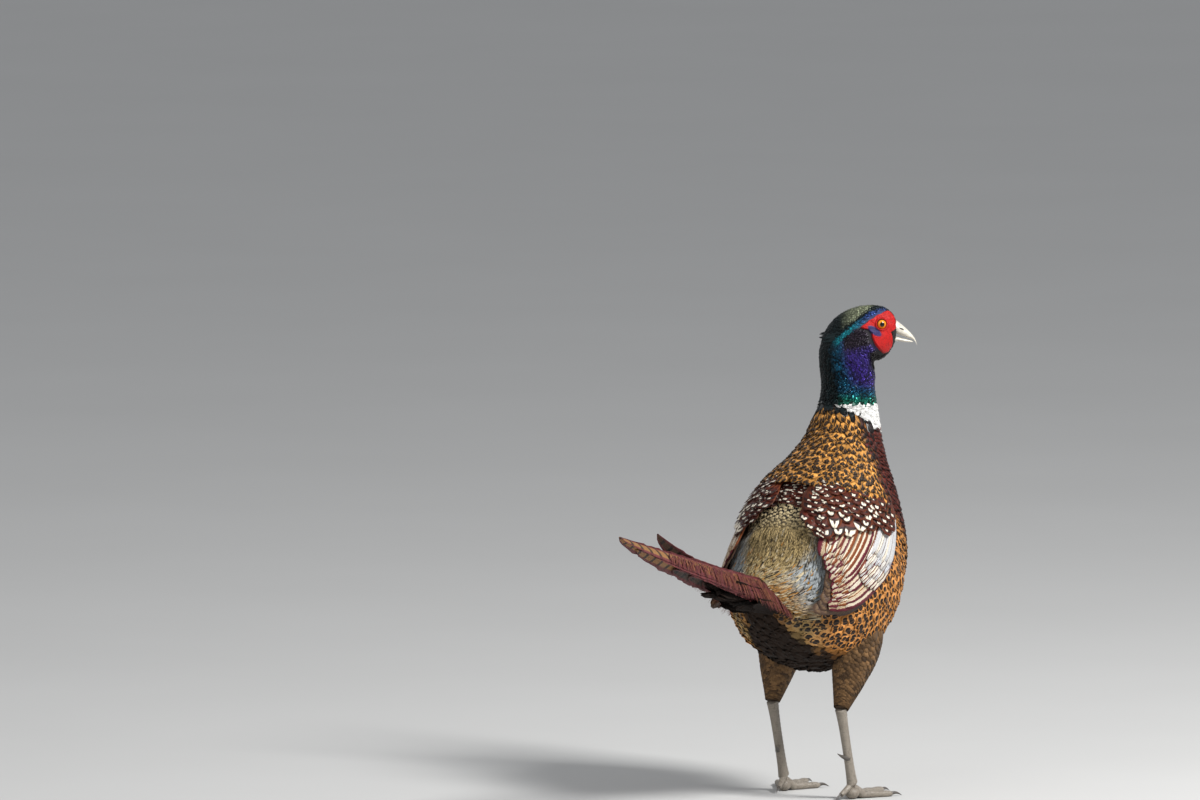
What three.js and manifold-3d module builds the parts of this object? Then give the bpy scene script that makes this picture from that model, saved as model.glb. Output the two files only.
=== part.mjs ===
// A cock ring-necked pheasant, life size, standing alert with its head turned to its right.
// Millimetres, +Z up. The bird faces +X and its right side is -Y. The origin is on the floor,
// under the middle of the bird's box.
import * as THREE from "three";
import { LoftGeometry } from "three/addons/geometries/LoftGeometry.js";
import { mergeVertices } from "three/addons/utils/BufferGeometryUtils.js";
import Module from "manifold-3d";

const wasm = await Module();
wasm.setup();

// Driving dimensions
const GAP = 0.3; // clearance between neighbouring pieces
const NECK_X = 62; // upright axis of the neck, forward of the standing point
const EYE_HEIGHT = 431;
const EYE_FORWARD = 30; // from the neck's axis to the eyes, along the head
const HEAD_TURN = THREE.MathUtils.degToRad(-60);
const TWIST_FROM = 318; // height where the neck starts to turn
const TWIST_TO = 405;
const SIDES = { right: 1, left: -1 };

// The trunk in its own mid plane, from the tail root to the upper neck. back and belly are
// [forward, height], half is half the width between them.
const TRUNK = [
  { back: [-122, 212], belly: [-124, 188], half: 14 },
  { back: [-104, 220], belly: [-100, 160], half: 33 },
  { back: [-87, 233], belly: [-50, 127], half: 54 },
  { back: [-71, 254], belly: [6, 115], half: 69 },
  { back: [-52, 278], belly: [60, 137], half: 75 },
  { back: [-26, 299], belly: [90, 184], half: 69 },
  { back: [2, 318], belly: [99, 240], half: 53 },
  { back: [21, 334], belly: [95, 293], half: 38 },
  { back: [33, 350], belly: [91, 336], half: 30 },
  { back: [37, 361], belly: [88.5, 360], half: 26.5 },
  { back: [38, 376], belly: [87, 372], half: 25 },
];

// The head, from the nape to the bill, measured from the middle of the eyes.
const HEAD = [
  { back: [-56, -33], belly: [-4.5, -46], half: 24.5 },
  { back: [-54.5, -19], belly: [-5.5, -38], half: 24.5 },
  { back: [-50, -6.5], belly: [-5, -35.5], half: 23.5 },
  { back: [-42, 4], belly: [-3.5, -35], half: 22.5 },
  { back: [-31, 11.5], belly: [-1, -34.5], half: 21 },
  { back: [-19, 15.6], belly: [1.5, -33.5], half: 19.5 },
  { back: [-7, 16.6], belly: [4.5, -31.5], half: 17.2 },
  { back: [3, 15], belly: [8, -28], half: 14.2 },
  { back: [10, 10.5], belly: [11, -23.5], half: 11 },
  { back: [14, 5], belly: [13.3, -19.5], half: 8.2 },
  { back: [15.4, 1.8], belly: [14.4, -17.5], half: 6.8 },
];

// The folded wings, rump and tail lie on this outer surface: the trunk from the neck base back,
// thicker by the wing, and carried on past the rump to the wing tips.
const WRAP = [
  { back: [-150, 208], belly: [-132, 150], half: 46 },
  { back: [-124, 218], belly: [-92, 136], half: 56 },
  { back: [-97, 237], belly: [-46, 114], half: 67 },
  { back: [-79, 260], belly: [6, 106], half: 75.5 },
  { back: [-57, 284], belly: [63, 130], half: 80 },
  { back: [-29, 304], belly: [93, 182], half: 73 },
  { back: [0, 321], belly: [101, 240], half: 57 },
  { back: [20, 336], belly: [96, 293], half: 40 },
];

// Stations where the body is parted
const RUMP_END = 1.9;
const RING_FROM = 8;
const RING_TO = 9;
const NECK_TO = 12.1;
const HEAD_END = TRUNK.length + HEAD.length - 1;

const EYE = { radius: 5.8, side: 11.7 };
const BILL = {
  upper: [
    { at: 15.8, top: 1.6, bottom: -11.6, half: 6.2 },
    { at: 20.5, top: -2.3, bottom: -13.2, half: 5.2 },
    { at: 25, top: -6.2, bottom: -14.6, half: 4.2 },
    { at: 29.2, top: -10.6, bottom: -15.8, half: 3.1 },
    { at: 32.4, top: -15.2, bottom: -18, half: 1.9 },
    { at: 34.2, top: -20.4, bottom: -21.2, half: 0.5 },
  ],
  lower: [
    { at: 15.8, top: -11.4, bottom: -16.8, half: 5.4 },
    { at: 21, top: -13, bottom: -17.6, half: 4.4 },
    { at: 26, top: -14.6, bottom: -18, half: 3.2 },
    { at: 30, top: -16.2, bottom: -18, half: 1.7 },
  ],
  nostril: { at: 19.6, up: -5.6, side: 5.1 },
};

// The bare red skin round the eye: its outline, forward and up from the eye
const WATTLE = {
  outline: [
    [7.4, 12],
    [12.6, 7],
    [14.4, 1],
    [14, -5],
    [9.5, -7.5],
    [11, -15],
    [10.6, -21.5],
    [7.2, -27.6],
    [3, -28.3],
    [-2, -23],
    [-6.8, -15],
    [-8.6, -7.6],
    [-12, -4],
    [-19.5, -2.4],
    [-14, 1.6],
    [-7, 5.6],
    [0, 9.4],
  ],
  thick: 1.5,
  lid: { ring: 4.9, bead: 0.85 },
};

const EAR_TUFT = { length: 13, width: 4.5, count: 3 };

// The folded wing's region on the outer surface, from the shoulder to the tips, as angles from
// the back down to its upper and lower edge
const WING = [
  { u: 5.7, high: 34, low: 58 },
  { u: 5.1, high: 19, low: 73 },
  { u: 4.2, high: 13, low: 83 },
  { u: 3.2, high: 32, low: 87 },
  { u: 2.2, high: 50, low: 86 },
  { u: 1, high: 70, low: 80 },
];

// The wing's feathers in tiers. roots and tips run from the first feather to the last, as
// [station, angle] on the outer surface, lift is their height over it at root and tip.
const FLAT = [-1, 1];
const TIERS = [
  // primaries, secondaries, greater and median coverts
  { count: 3, roots: [[3.3, 74], [3.3, 80]], tips: [[0.8, 76], [1.6, 84]], width: 17, lift: [-4.2, -3.8] },
  { count: 5, roots: [[3.9, 38], [3.7, 77]], tips: [[2.2, 53], [1.15, 78]], width: 27, lift: [-3.4, -2.8] },
  { count: 4, roots: [[4.5, 40], [4.5, 75]], tips: [[2.9, 47], [2.75, 82]], width: 32, lift: [-3.6, -1] },
  { count: 3, roots: [[5.1, 48], [5.1, 73]], tips: [[3.8, 56], [3.8, 80]], width: 33, lift: [-3.4, 0] },
].map((tier) => ({ ...tier, lines: FLAT }));
TIERS[1].steps = 3;
TIERS.push(
  // scapulars, with a raised shaft
  { count: 3, roots: [[4.3, 22], [4.3, 46]], tips: [[3, 36], [3.3, 58]], width: 34, lift: [-3.6, 0.6] },
  { count: 3, roots: [[4.9, 24], [4.9, 58]], tips: [[3.8, 20], [3.9, 65]], width: 38, lift: [-3.6, 1.8] },
  { count: 3, roots: [[5.5, 32], [5.5, 56]], tips: [[4.6, 21], [4.6, 66]], width: 36, lift: [-3.2, 2.4] },
);

// The tail is an inverted V of feathers in pairs, the shorter ones under the longer
const TAIL = {
  root: [-96, 0, 208],
  pitch: THREE.MathUtils.degToRad(11.5),
  yaw: THREE.MathUtils.degToRad(9),
  slope: THREE.MathUtils.degToRad(44),
  fan: THREE.MathUtils.degToRad(1.1),
  lengths: [428, 366, 306, 250, 204, 166],
  width: 27,
  layer: 1.7,
  start: 16,
  raised: { pair: 2, side: -1, lift: 24 },
  stump: { length: 112, wide: 19, deep: 17 },
  coverts: { above: 2, below: 3, length: 92, width: 27 },
};

const LEG = {
  side: 41,
  hip: [8, 176],
  knee: [4, 140],
  hock: [-20, 82],
  foot: [4, 12],
  stride: 11, // the left foot stands this far forward, the right as far back
  spur: 14,
};
const TOES = [
  { name: "middle", turn: 4, length: 54, root: 4.4, tip: 2.9, claw: 12, scutes: 6 },
  { name: "inner", turn: -30, length: 39, root: 4, tip: 2.7, claw: 10.5, scutes: 4 },
  { name: "outer", turn: 36, length: 41, root: 4, tip: 2.7, claw: 10, scutes: 4 },
];
const HIND_TOE = { length: 17, root: 3.2, tip: 2.4, claw: 8 };

const COLOUR = {
  bronze: [0x2b3328, 0.45, 0.35],
  teal: [0x0d3a45, 0.4, 0.45],
  white: [0xe6e3dc, 0.8, 0],
  copper: [0x6b3312, 0.6, 0.1],
  chestnut: [0x53200f, 0.65, 0],
  slate: [0x8c8f7c, 0.8, 0],
  buff: [0x8a6a42, 0.75, 0],
  flank: [0xb5702a, 0.7, 0],
  red: [0xb80f0c, 0.55, 0],
  ivory: [0xcfc6ad, 0.4, 0],
  amber: [0xb06a12, 0.1, 0],
  horn: [0x6d665a, 0.5, 0],
  scute: [0x8b8577, 0.55, 0],
};

// Smooth interpolation through the stations, as uniform Catmull-Rom curves
function surfaceOf(stations) {
  const line = (pick) => new THREE.SplineCurve(stations.map((s) => new THREE.Vector2(...pick(s))));
  return {
    last: stations.length - 1,
    back: line((s) => s.back),
    belly: line((s) => s.belly),
    half: line((s) => [s.half, 0]),
  };
}

// The head's stations moved to the trunk's coordinates
const headInTrunk = HEAD.map(({ back, belly, half }) => ({
  back: [back[0] + EYE_FORWARD + NECK_X, back[1] + EYE_HEIGHT],
  belly: [belly[0] + EYE_FORWARD + NECK_X, belly[1] + EYE_HEIGHT],
  half,
}));
const SKIN = surfaceOf([...TRUNK, ...headInTrunk]);
const OUTER = surfaceOf(WRAP);

// A point of a surface at station u and angle v: 0 is the back, a quarter turn the right side,
// half a turn the belly. grow moves it outwards.
function pointOn(surface, u, v, grow = 0) {
  const t = THREE.MathUtils.clamp(u / surface.last, 0, 1);
  const back = surface.back.getPoint(t);
  const belly = surface.belly.getPoint(t);
  const middle = back.clone().add(belly).multiplyScalar(0.5);
  const arm = back.clone().sub(middle);
  arm.setLength(arm.length() + grow);
  const half = surface.half.getPoint(t).x + grow;
  const sagittal = middle.addScaledVector(arm, Math.cos(v));
  const across = -half * Math.sin(v);
  const level = (back.y + belly.y) / 2;
  const yaw = HEAD_TURN * THREE.MathUtils.smoothstep(level, TWIST_FROM, TWIST_TO);
  const forward = sagittal.x - NECK_X;
  return new THREE.Vector3(
    NECK_X + forward * Math.cos(yaw) - across * Math.sin(yaw),
    forward * Math.sin(yaw) + across * Math.cos(yaw),
    sagittal.y,
  );
}

// The same point, lifted off the surface along its normal
function liftedOn(surface, u, v, lift) {
  const step = 0.02;
  const at = pointOn(surface, u, v);
  const along = pointOn(surface, u + step, v).sub(pointOn(surface, u - step, v));
  const round = pointOn(surface, u, v + step).sub(pointOn(surface, u, v - step));
  return at.addScaledVector(round.cross(along).normalize(), lift);
}

// Solids: a closed mesh as a manifold, the union of several, and the largest body of one
function solid(geometry) {
  const bare = geometry.index ? geometry.toNonIndexed() : geometry.clone();
  for (const name of Object.keys(bare.attributes)) if (name !== "position") bare.deleteAttribute(name);
  const merged = mergeVertices(bare, 1e-3);
  const index = merged.index.array;
  const triVerts = [];
  for (let i = 0; i < index.length; i += 3) {
    const [a, b, c] = index.subarray(i, i + 3);
    if (a !== b && b !== c && c !== a) triVerts.push(a, b, c);
  }
  const build = (corners) =>
    new wasm.Manifold(
      new wasm.Mesh({
        numProp: 3,
        vertProperties: merged.attributes.position.array,
        triVerts: new Uint32Array(corners),
      }),
    );
  const made = build(triVerts);
  return made.volume() > 0 ? made : build(triVerts.reverse());
}

const unite = (solids) => wasm.Manifold.union(solids);

function largest(made) {
  return made.decompose().reduce((best, body) => (body.volume() > best.volume() ? body : best));
}

function without(made, ...others) {
  return others.reduce((left, other) => left.subtract(other), made);
}

// A closed loft of the skin between two stations, with flat ends
function skinLoft(from, to, rings, around, grow = 0) {
  const sections = [];
  for (let i = 0; i <= rings; i++) {
    const u = THREE.MathUtils.lerp(from, to, i / rings);
    const ring = [];
    for (let j = 0; j < around; j++) ring.push(pointOn(SKIN, u, (j / around) * Math.PI * 2, grow));
    sections.push(ring);
  }
  return solid(new LoftGeometry(sections, { capStart: true, capEnd: true }));
}

// A tapered limb along a list of places, each with its half width and half depth. across is the
// limb's sideways direction, grow makes it larger all round.
function limb(places, options = {}) {
  const { around = 10, across = new THREE.Vector3(0, 1, 0), shape = () => 1, grow = 0 } = options;
  const last = places.length - 1;
  const sections = places.map(({ at, wide, deep }, i) => {
    const before = places[Math.max(i - 1, 0)].at;
    const after = places[Math.min(i + 1, last)].at;
    const along = after.clone().sub(before).normalize();
    const side = across.clone().addScaledVector(along, -across.dot(along)).normalize();
    const up = along.clone().cross(side).normalize();
    const onward = (i === last) - (i === 0);
    return Array.from({ length: around }, (_, j) => {
      const angle = (j / around) * Math.PI * 2;
      const reach = shape(i, angle);
      return at
        .clone()
        .addScaledVector(along, onward * grow)
        .addScaledVector(side, Math.cos(angle) * (wide * reach + grow))
        .addScaledVector(up, Math.sin(angle) * (deep * reach + grow));
    });
  });
  return solid(new LoftGeometry(sections, { capStart: true, capEnd: true }));
}

// A feather: a thin plate on a surface, from its root [u, v] to its tip, with a few lines along it.
// lift is its height over the surface at root and tip, tilt raises one edge over the other.
function vane(surface, { root, tip, width, lift, tilt = 0, thick = 0.6, steps = 2, lines = [-1, 0, 1] }) {
  const rows = [];
  for (let i = 0; i <= steps; i++) {
    const t = i / steps;
    const u = THREE.MathUtils.lerp(root[0], tip[0], t);
    const v = THREE.MathUtils.lerp(root[1], tip[1], t);
    const swell = 0.55 + 0.45 * THREE.MathUtils.smoothstep(t, 0, 0.35);
    const taper = Math.sqrt(1 - 0.94 * Math.max(0, (t - 0.55) / 0.45) ** 2);
    const unit = pointOn(surface, u, v + 0.05).distanceTo(pointOn(surface, u, v)) / 0.05;
    const spread = (width * swell * taper) / 2 / unit;
    const height = THREE.MathUtils.lerp(lift[0], lift[1], t);
    rows.push(
      lines.map((j) => {
        const over = height + tilt * j + 0.3 * (1 - Math.abs(j));
        return [0.5, -0.5].map((face) => liftedOn(surface, u, v + j * spread, over + face * thick));
      }),
    );
  }
  return plate(rows);
}

// A closed plate from rows of [upper, lower] point pairs, split alike on both faces
function plate(rows) {
  const across = rows[0].length;
  const points = rows.flat(2);
  const corner = (i, j, face) => (i * across + j) * 2 + face;
  const faces = [];
  const quad = (a, b, c, d) => faces.push(a, b, c, a, c, d);
  for (let i = 0; i + 1 < rows.length; i++) {
    for (let j = 0; j + 1 < across; j++) {
      quad(corner(i, j, 0), corner(i + 1, j, 0), corner(i + 1, j + 1, 0), corner(i, j + 1, 0));
      const a = corner(i, j, 1);
      const c = corner(i + 1, j + 1, 1);
      faces.push(c, corner(i + 1, j, 1), a, corner(i, j + 1, 1), c, a);
    }
    quad(corner(i, 0, 1), corner(i + 1, 0, 1), corner(i + 1, 0, 0), corner(i, 0, 0));
    const edge = across - 1;
    quad(corner(i, edge, 0), corner(i + 1, edge, 0), corner(i + 1, edge, 1), corner(i, edge, 1));
  }
  const end = rows.length - 1;
  for (let j = 0; j + 1 < across; j++) {
    quad(corner(0, j + 1, 1), corner(0, j, 1), corner(0, j, 0), corner(0, j + 1, 0));
    quad(corner(end, j, 1), corner(end, j + 1, 1), corner(end, j + 1, 0), corner(end, j, 0));
  }
  return solid(new THREE.BufferGeometry().setFromPoints(points).setIndex(faces));
}

// Places on the head: forward, to the left and up from the middle of the eyes
const headFrame = new THREE.Matrix4()
  .makeTranslation(NECK_X + EYE_FORWARD * Math.cos(HEAD_TURN), EYE_FORWARD * Math.sin(HEAD_TURN), EYE_HEIGHT)
  .multiply(new THREE.Matrix4().makeRotationZ(HEAD_TURN));
const onHead = (forward, left, up) => new THREE.Vector3(forward, left, up).applyMatrix4(headFrame);
const headLeft = new THREE.Vector3(0, 1, 0).transformDirection(headFrame);

// Head and neck
function eyeball(sign, grow = 0) {
  const ball = new THREE.SphereGeometry(EYE.radius + grow, 14, 8);
  ball.rotateX(Math.PI / 2);
  const at = onHead(0, -sign * EYE.side, 0);
  return solid(ball.translate(at.x, at.y, at.z));
}

function earTuft(sign) {
  const feathers = [];
  for (let i = 0; i < EAR_TUFT.count; i++) {
    const rise = -3 - 5 * i;
    const root = onHead(-40 + i, -sign * (14 + 1.5 * i), rise);
    const tip = onHead(-41 - EAR_TUFT.length - 3 * (1 - i), -sign * (17 + i), rise - 7);
    const middle = root.clone().lerp(tip, 0.55);
    const half = EAR_TUFT.width / 2;
    feathers.push(
      limb(
        [
          { at: root, wide: half, deep: 1 },
          { at: middle, wide: half, deep: 0.9 },
          { at: tip, wide: 0.4, deep: 0.35 },
        ],
        { around: 6, across: new THREE.Vector3(0, 0, 1) },
      ),
    );
  }
  return feathers;
}

function head() {
  const skull = skinLoft(NECK_TO + 0.02, HEAD_END, 15, 24);
  const tufts = Object.values(SIDES).flatMap(earTuft);
  const sockets = Object.values(SIDES).map((sign) => eyeball(sign, GAP));
  return largest(without(unite([skull, ...tufts]), ...sockets));
}

// The red skin is a slice of a shell round the head, with a lid bead round the eye
function wattle(sign) {
  const shape = new THREE.Shape();
  const points = WATTLE.outline.map(([x, y]) => new THREE.Vector2(x, y));
  const curve = new THREE.SplineCurve([...points, points[0]]);
  shape.setFromPoints(curve.getPoints(22).slice(0, -1));
  const slab = new THREE.ExtrudeGeometry(shape, { depth: 30, bevelEnabled: false });
  slab.rotateX(Math.PI / 2);
  slab.translate(0, sign > 0 ? -2 : 32, 0);
  const slice = solid(slab.applyMatrix4(headFrame));
  const outer = skinLoft(13, HEAD_END, 8, 18, WATTLE.thick + GAP);
  const inner = skinLoft(NECK_TO + 0.02, HEAD_END, 15, 24, GAP);
  const shell = without(slice.intersect(outer), inner);
  const bead = new THREE.TorusGeometry(WATTLE.lid.ring, WATTLE.lid.bead, 6, 16);
  bead.rotateX(Math.PI / 2);
  const at = onHead(0, -sign * (EYE.side + 4.2), 0);
  const turned = new THREE.Matrix4().makeRotationZ(HEAD_TURN);
  const lid = solid(bead.applyMatrix4(turned).translate(at.x, at.y, at.z));
  return largest(without(unite([shell, lid]), inner, eyeball(sign, GAP)));
}

function billHalf(stations, flatSide) {
  const places = stations.map(({ at, top, bottom, half }) => ({
    at: onHead(at, 0, (top + bottom) / 2),
    wide: half,
    deep: (top - bottom) / 2,
  }));
  const sections = places.map(({ at, wide, deep }) =>
    Array.from({ length: 12 }, (_, j) => {
      const angle = (j / 12) * Math.PI * 2;
      const rise = Math.sin(angle);
      const flat = rise * flatSide < 0 ? 0.8 : 1;
      return at
        .clone()
        .addScaledVector(headLeft, Math.cos(angle) * wide * (rise * flatSide < 0 ? 1.02 : 1))
        .add(new THREE.Vector3(0, 0, rise * deep * flat));
    }),
  );
  return solid(new LoftGeometry(sections, { capStart: true, capEnd: true }));
}

function upperBill() {
  const slits = Object.values(SIDES).map((sign) => {
    const slit = new THREE.SphereGeometry(1, 10, 6).scale(2.2, 1.6, 0.8).rotateY(0.45);
    slit.translate(BILL.nostril.at, -sign * BILL.nostril.side, BILL.nostril.up);
    return solid(slit.applyMatrix4(headFrame));
  });
  return largest(without(billHalf(BILL.upper, 1), ...slits));
}

function lowerBill() {
  const opening = BILL.upper.map((s) => ({ ...s, bottom: s.bottom - GAP, half: s.half + GAP }));
  return largest(without(billHalf(BILL.lower, -1), billHalf(opening, 1)));
}

// Trunk
const torso = (grow = 0) => skinLoft(RUMP_END + 0.004, RING_FROM - 0.004, 16, 24, grow);
const rumpCore = (grow = 0) => skinLoft(0, RUMP_END - 0.004, 4, 24, grow);

const PAD_END = 0.5; // the share of the wing's region that its pad fills

// The wing's pad of flesh and small coverts, which its feathers grow from
function wingPad(sign) {
  const high = new THREE.SplineCurve(WING.map((edge) => new THREE.Vector2(edge.u, edge.high)));
  const low = new THREE.SplineCurve(WING.map((edge) => new THREE.Vector2(edge.u, edge.low)));
  const rows = [];
  const steps = 5;
  const across = 3;
  for (let i = 0; i <= steps; i++) {
    const t = (i / steps) * PAD_END;
    const top = high.getPoint(t);
    const bottom = low.getPoint(t);
    rows.push(
      Array.from({ length: across + 1 }, (_, j) => {
        const angle = THREE.MathUtils.lerp(top.y + 2, bottom.y - 2, j / across);
        const v = sign * THREE.MathUtils.degToRad(angle);
        const under = 3 + 2 * Math.abs((j / across) * 2 - 1) ** 3;
        return [liftedOn(OUTER, top.x, v, -under), liftedOn(OUTER, top.x, v, -under - 9)];
      }),
    );
  }
  return plate(rows);
}

const between = (pair, t) => pair[0].map((from, k) => THREE.MathUtils.lerp(from, pair[1][k], t));
const onSide = ([u, degrees], sign) => [u, sign * THREE.MathUtils.degToRad(degrees)];

function wing(sign) {
  const feathers = TIERS.flatMap(({ count, roots, tips, width, lift, steps, lines }) =>
    Array.from({ length: count }, (_, i) => {
      const share = i / (count - 1);
      const root = onSide(between(roots, share), sign);
      const tip = onSide(between(tips, share), sign);
      return vane(OUTER, { root, tip, width, lift, tilt: sign * 0.6, steps, lines });
    }),
  );
  return largest(without(unite([wingPad(sign), ...feathers]), torso(GAP), rumpCore(GAP)));
}

// Tail
const tailAlong = new THREE.Vector3(
  -Math.cos(TAIL.pitch) * Math.cos(TAIL.yaw),
  -Math.cos(TAIL.pitch) * Math.sin(TAIL.yaw),
  Math.sin(TAIL.pitch),
);
const tailLeft = new THREE.Vector3(0, 1, 0).addScaledVector(tailAlong, -tailAlong.y).normalize();
const tailUp = tailLeft.clone().cross(tailAlong).normalize();
const tailPlace = (distance) => new THREE.Vector3(...TAIL.root).addScaledVector(tailAlong, distance);

// One blade of the tail, on the slope of its side: 1 is the right, -1 the left. under is the depth
// of its layer, and raise lifts its outer half off the others.
function tailBlade({ side, from, length, width, under, turn = 0, raise = 0, steps = 4, blunt = 0.5 }) {
  const cos = Math.cos(TAIL.slope);
  const sin = Math.sin(TAIL.slope);
  const clear = 0.4;
  const down = tailLeft.clone().multiplyScalar(-side * cos).addScaledVector(tailUp, -sin);
  const out = tailLeft.clone().multiplyScalar(-side * sin).addScaledVector(tailUp, cos);
  const rows = [];
  for (let i = 0; i <= steps; i++) {
    const t = i / steps;
    const distance = length * t;
    const half = Math.max((width / 2) * (0.72 + 0.28 * Math.min(1, t * 5)) * (1 - t) ** blunt, 0.8);
    const drift = half + clear + distance * Math.tan(turn);
    const middle = tailPlace(from + distance)
      .addScaledVector(down, drift)
      .addScaledVector(out, -under)
      .addScaledVector(tailUp, raise * t ** 2.2);
    rows.push(
      [-1, 0, 1].map((j) =>
        [0.45, -0.45].map((face) =>
          middle
            .clone()
            .addScaledVector(down, half * j)
            .addScaledVector(out, face + (j ? 0 : 0.5)),
        ),
      ),
    );
  }
  return plate(rows);
}

function tail() {
  const { start, layer, fan, width, raised, coverts, stump } = TAIL;
  const blades = [];
  for (const side of Object.values(SIDES)) {
    TAIL.lengths.forEach((length, pair) => {
      const lifted = pair === raised.pair && side === raised.side;
      blades.push(
        tailBlade({
          side,
          from: start,
          length: length - start,
          width: width * (1 - 0.02 * pair),
          under: layer * pair,
          turn: fan * pair,
          raise: lifted ? raised.lift : 0,
        }),
      );
    });
    const short = { side, width: coverts.width, steps: 3, blunt: 0.35 };
    for (let i = 0; i < coverts.above; i++) {
      const length = coverts.length * (1 - 0.28 * i);
      blades.push(tailBlade({ ...short, from: start - 12, length, under: -1.9 - 2 * i }));
    }
    for (let i = 0; i < coverts.below; i++) {
      const length = coverts.length * (1.2 - 0.2 * i);
      const under = layer * TAIL.lengths.length + 2 + 5.5 * i;
      blades.push(tailBlade({ ...short, from: start - 10, length, under }));
    }
  }
  const core = [0, 0.3, 0.65, 1].map((share) => ({
    at: tailPlace(stump.length * share).addScaledVector(tailUp, -20 + 8 * share),
    wide: stump.wide * (1 - 0.85 * share),
    deep: stump.deep * (1 - 0.85 * share),
  }));
  const whole = unite([limb(core, { around: 8, across: tailLeft }), ...blades]);
  return largest(without(whole, rumpCore(GAP), torso(GAP)));
}

// Legs
const legShift = (sign) => -sign * LEG.stride;
const legPlace = ([forward, height], sign, share = 1) =>
  new THREE.Vector3(forward + legShift(sign) * share, -sign * LEG.side, height);

function thigh(sign) {
  const places = [
    { at: legPlace(LEG.hip, sign, 0.3), wide: 24, deep: 36 },
    { at: legPlace(LEG.knee, sign, 0.5), wide: 21, deep: 30 },
    { at: legPlace([-6, 114], sign, 0.7), wide: 15, deep: 19 },
    { at: legPlace([-14, 96], sign, 0.9), wide: 9.5, deep: 11 },
    { at: legPlace([LEG.hock[0] + 1, LEG.hock[1] + 4], sign), wide: 6.2, deep: 7 },
  ];
  return largest(without(limb(places, { around: 18 }), torso(GAP)));
}

// The shank, with its front scutes as raised steps
function shank(sign, grow = 0) {
  const top = legPlace([LEG.hock[0] + 0.6, LEG.hock[1] + 3.4], sign);
  const bottom = legPlace([LEG.foot[0] - 0.5, LEG.foot[1] + 3], sign);
  const scutes = 10;
  const places = [];
  for (let i = 0; i <= scutes; i++) {
    const t = i / scutes;
    const at = top.clone().lerp(bottom, t);
    const swell = 1 + 0.35 * (1 - t) ** 6 + 0.25 * t ** 8;
    places.push({ at, wide: 3.7 * swell, deep: 4.6 * swell, raised: false });
    if (i < scutes) {
      const next = top.clone().lerp(bottom, t + 0.82 / scutes);
      places.push({ at: next, wide: 3.7 * swell, deep: 4.6 * swell, raised: true });
    }
  }
  const shape = (i, angle) => (places[i].raised && Math.sin(angle) > 0.2 ? 1.13 : 1);
  return limb(places, { around: 8, shape, grow });
}

function spur(sign, grow = 0) {
  const start = legPlace([-9, 39], sign);
  const tip = start.clone().add(new THREE.Vector3(-LEG.spur * 0.92, sign * 5, 4));
  const middle = start.clone().lerp(tip, 0.5).add(new THREE.Vector3(0, 0, -1.2));
  const places = [
    { at: start.clone().add(new THREE.Vector3(5, -sign * 2, -1)), wide: 3, deep: 3.4 },
    { at: middle, wide: 1.9, deep: 2.2 },
    { at: tip, wide: 0.35, deep: 0.35 },
  ];
  return limb(places, { around: 8, grow });
}

// One toe: a row of pads and scutes, bent down to the floor at its tip
function toePlaces(sign, { turn, length, root, tip }) {
  const ankle = legPlace(LEG.foot, sign);
  const heading = THREE.MathUtils.degToRad(-sign * turn);
  const forward = new THREE.Vector3(Math.cos(heading), Math.sin(heading), 0);
  return (t) => {
    const radius = THREE.MathUtils.lerp(root, tip, t);
    const bent = THREE.MathUtils.lerp(LEG.foot[1] - 1.5, 0, Math.min(1, t * 2.6));
    const height = Math.max(radius - 0.55, bent);
    return { at: ankle.clone().setZ(height).addScaledVector(forward, length * t), radius, forward };
  };
}

function toe(sign, size) {
  const place = toePlaces(sign, size);
  const places = [];
  const { forward } = place(0);
  const across = new THREE.Vector3(-forward.y, forward.x, 0);
  for (let i = 0; i < size.scutes; i++) {
    for (const [share, raised] of [[0, false], [0.78, true]]) {
      const t = (i + share) / size.scutes;
      const { at, radius } = place(t);
      const joint = 1 - 0.07 * Math.cos(t * Math.PI * 2 * 3);
      places.push({ at, wide: radius * joint, deep: radius * joint * 0.95, raised });
    }
  }
  const { at, radius } = place(1);
  places.push({ at, wide: radius * 0.75, deep: radius * 0.75, raised: false });
  const shape = (i, angle) => (places[i].raised && Math.sin(angle) > 0.2 ? 1.1 : 1);
  return limb(places, { around: 7, across, shape });
}

function claw(sign, size) {
  const { at, forward, radius } = toePlaces(sign, size)(1);
  const across = new THREE.Vector3(-forward.y, forward.x, 0);
  const step = (share, height, girth) => ({
    at: at.clone().addScaledVector(forward, size.claw * share).setZ(height),
    wide: girth * 0.8,
    deep: girth,
  });
  const rings = [
    step(0.02, radius - 0.3, 1.9),
    step(0.35, radius - 0.2, 1.7),
    step(0.7, 1.7, 1.1),
    step(1, 0.35, 0.3),
  ];
  return rings.map((place) => ({ ...place, across }));
}

const floorCut = (made) => largest(made.trimByPlane([0, 0, 1], 0));

function hindToe(sign) {
  const ankle = legPlace(LEG.foot, sign);
  const back = (x, z) => ankle.clone().add(new THREE.Vector3(-x, sign * x * 0.2, 0)).setZ(z);
  return {
    toe: [
      { at: back(-1, 15), wide: HIND_TOE.root, deep: HIND_TOE.root },
      { at: back(9, 11.5), wide: HIND_TOE.root * 0.95, deep: HIND_TOE.root },
      { at: back(HIND_TOE.length, 5.2), wide: HIND_TOE.tip, deep: HIND_TOE.tip },
    ],
    claw: [
      { at: back(HIND_TOE.length - 0.4, 4.6), wide: 1.5, deep: 1.8 },
      { at: back(HIND_TOE.length + 4, 2.7), wide: 1.1, deep: 1.3 },
      { at: back(HIND_TOE.length + HIND_TOE.claw, 0.3), wide: 0.25, deep: 0.3 },
    ],
  };
}

function clawSolids(sign, grow = 0) {
  const front = TOES.map((size) => {
    const places = claw(sign, size);
    return [size.name, floorCut(limb(places, { around: 8, across: places[0].across, grow }))];
  });
  return [...front, ["hind", floorCut(limb(hindToe(sign).claw, { around: 8, grow }))]];
}

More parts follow.
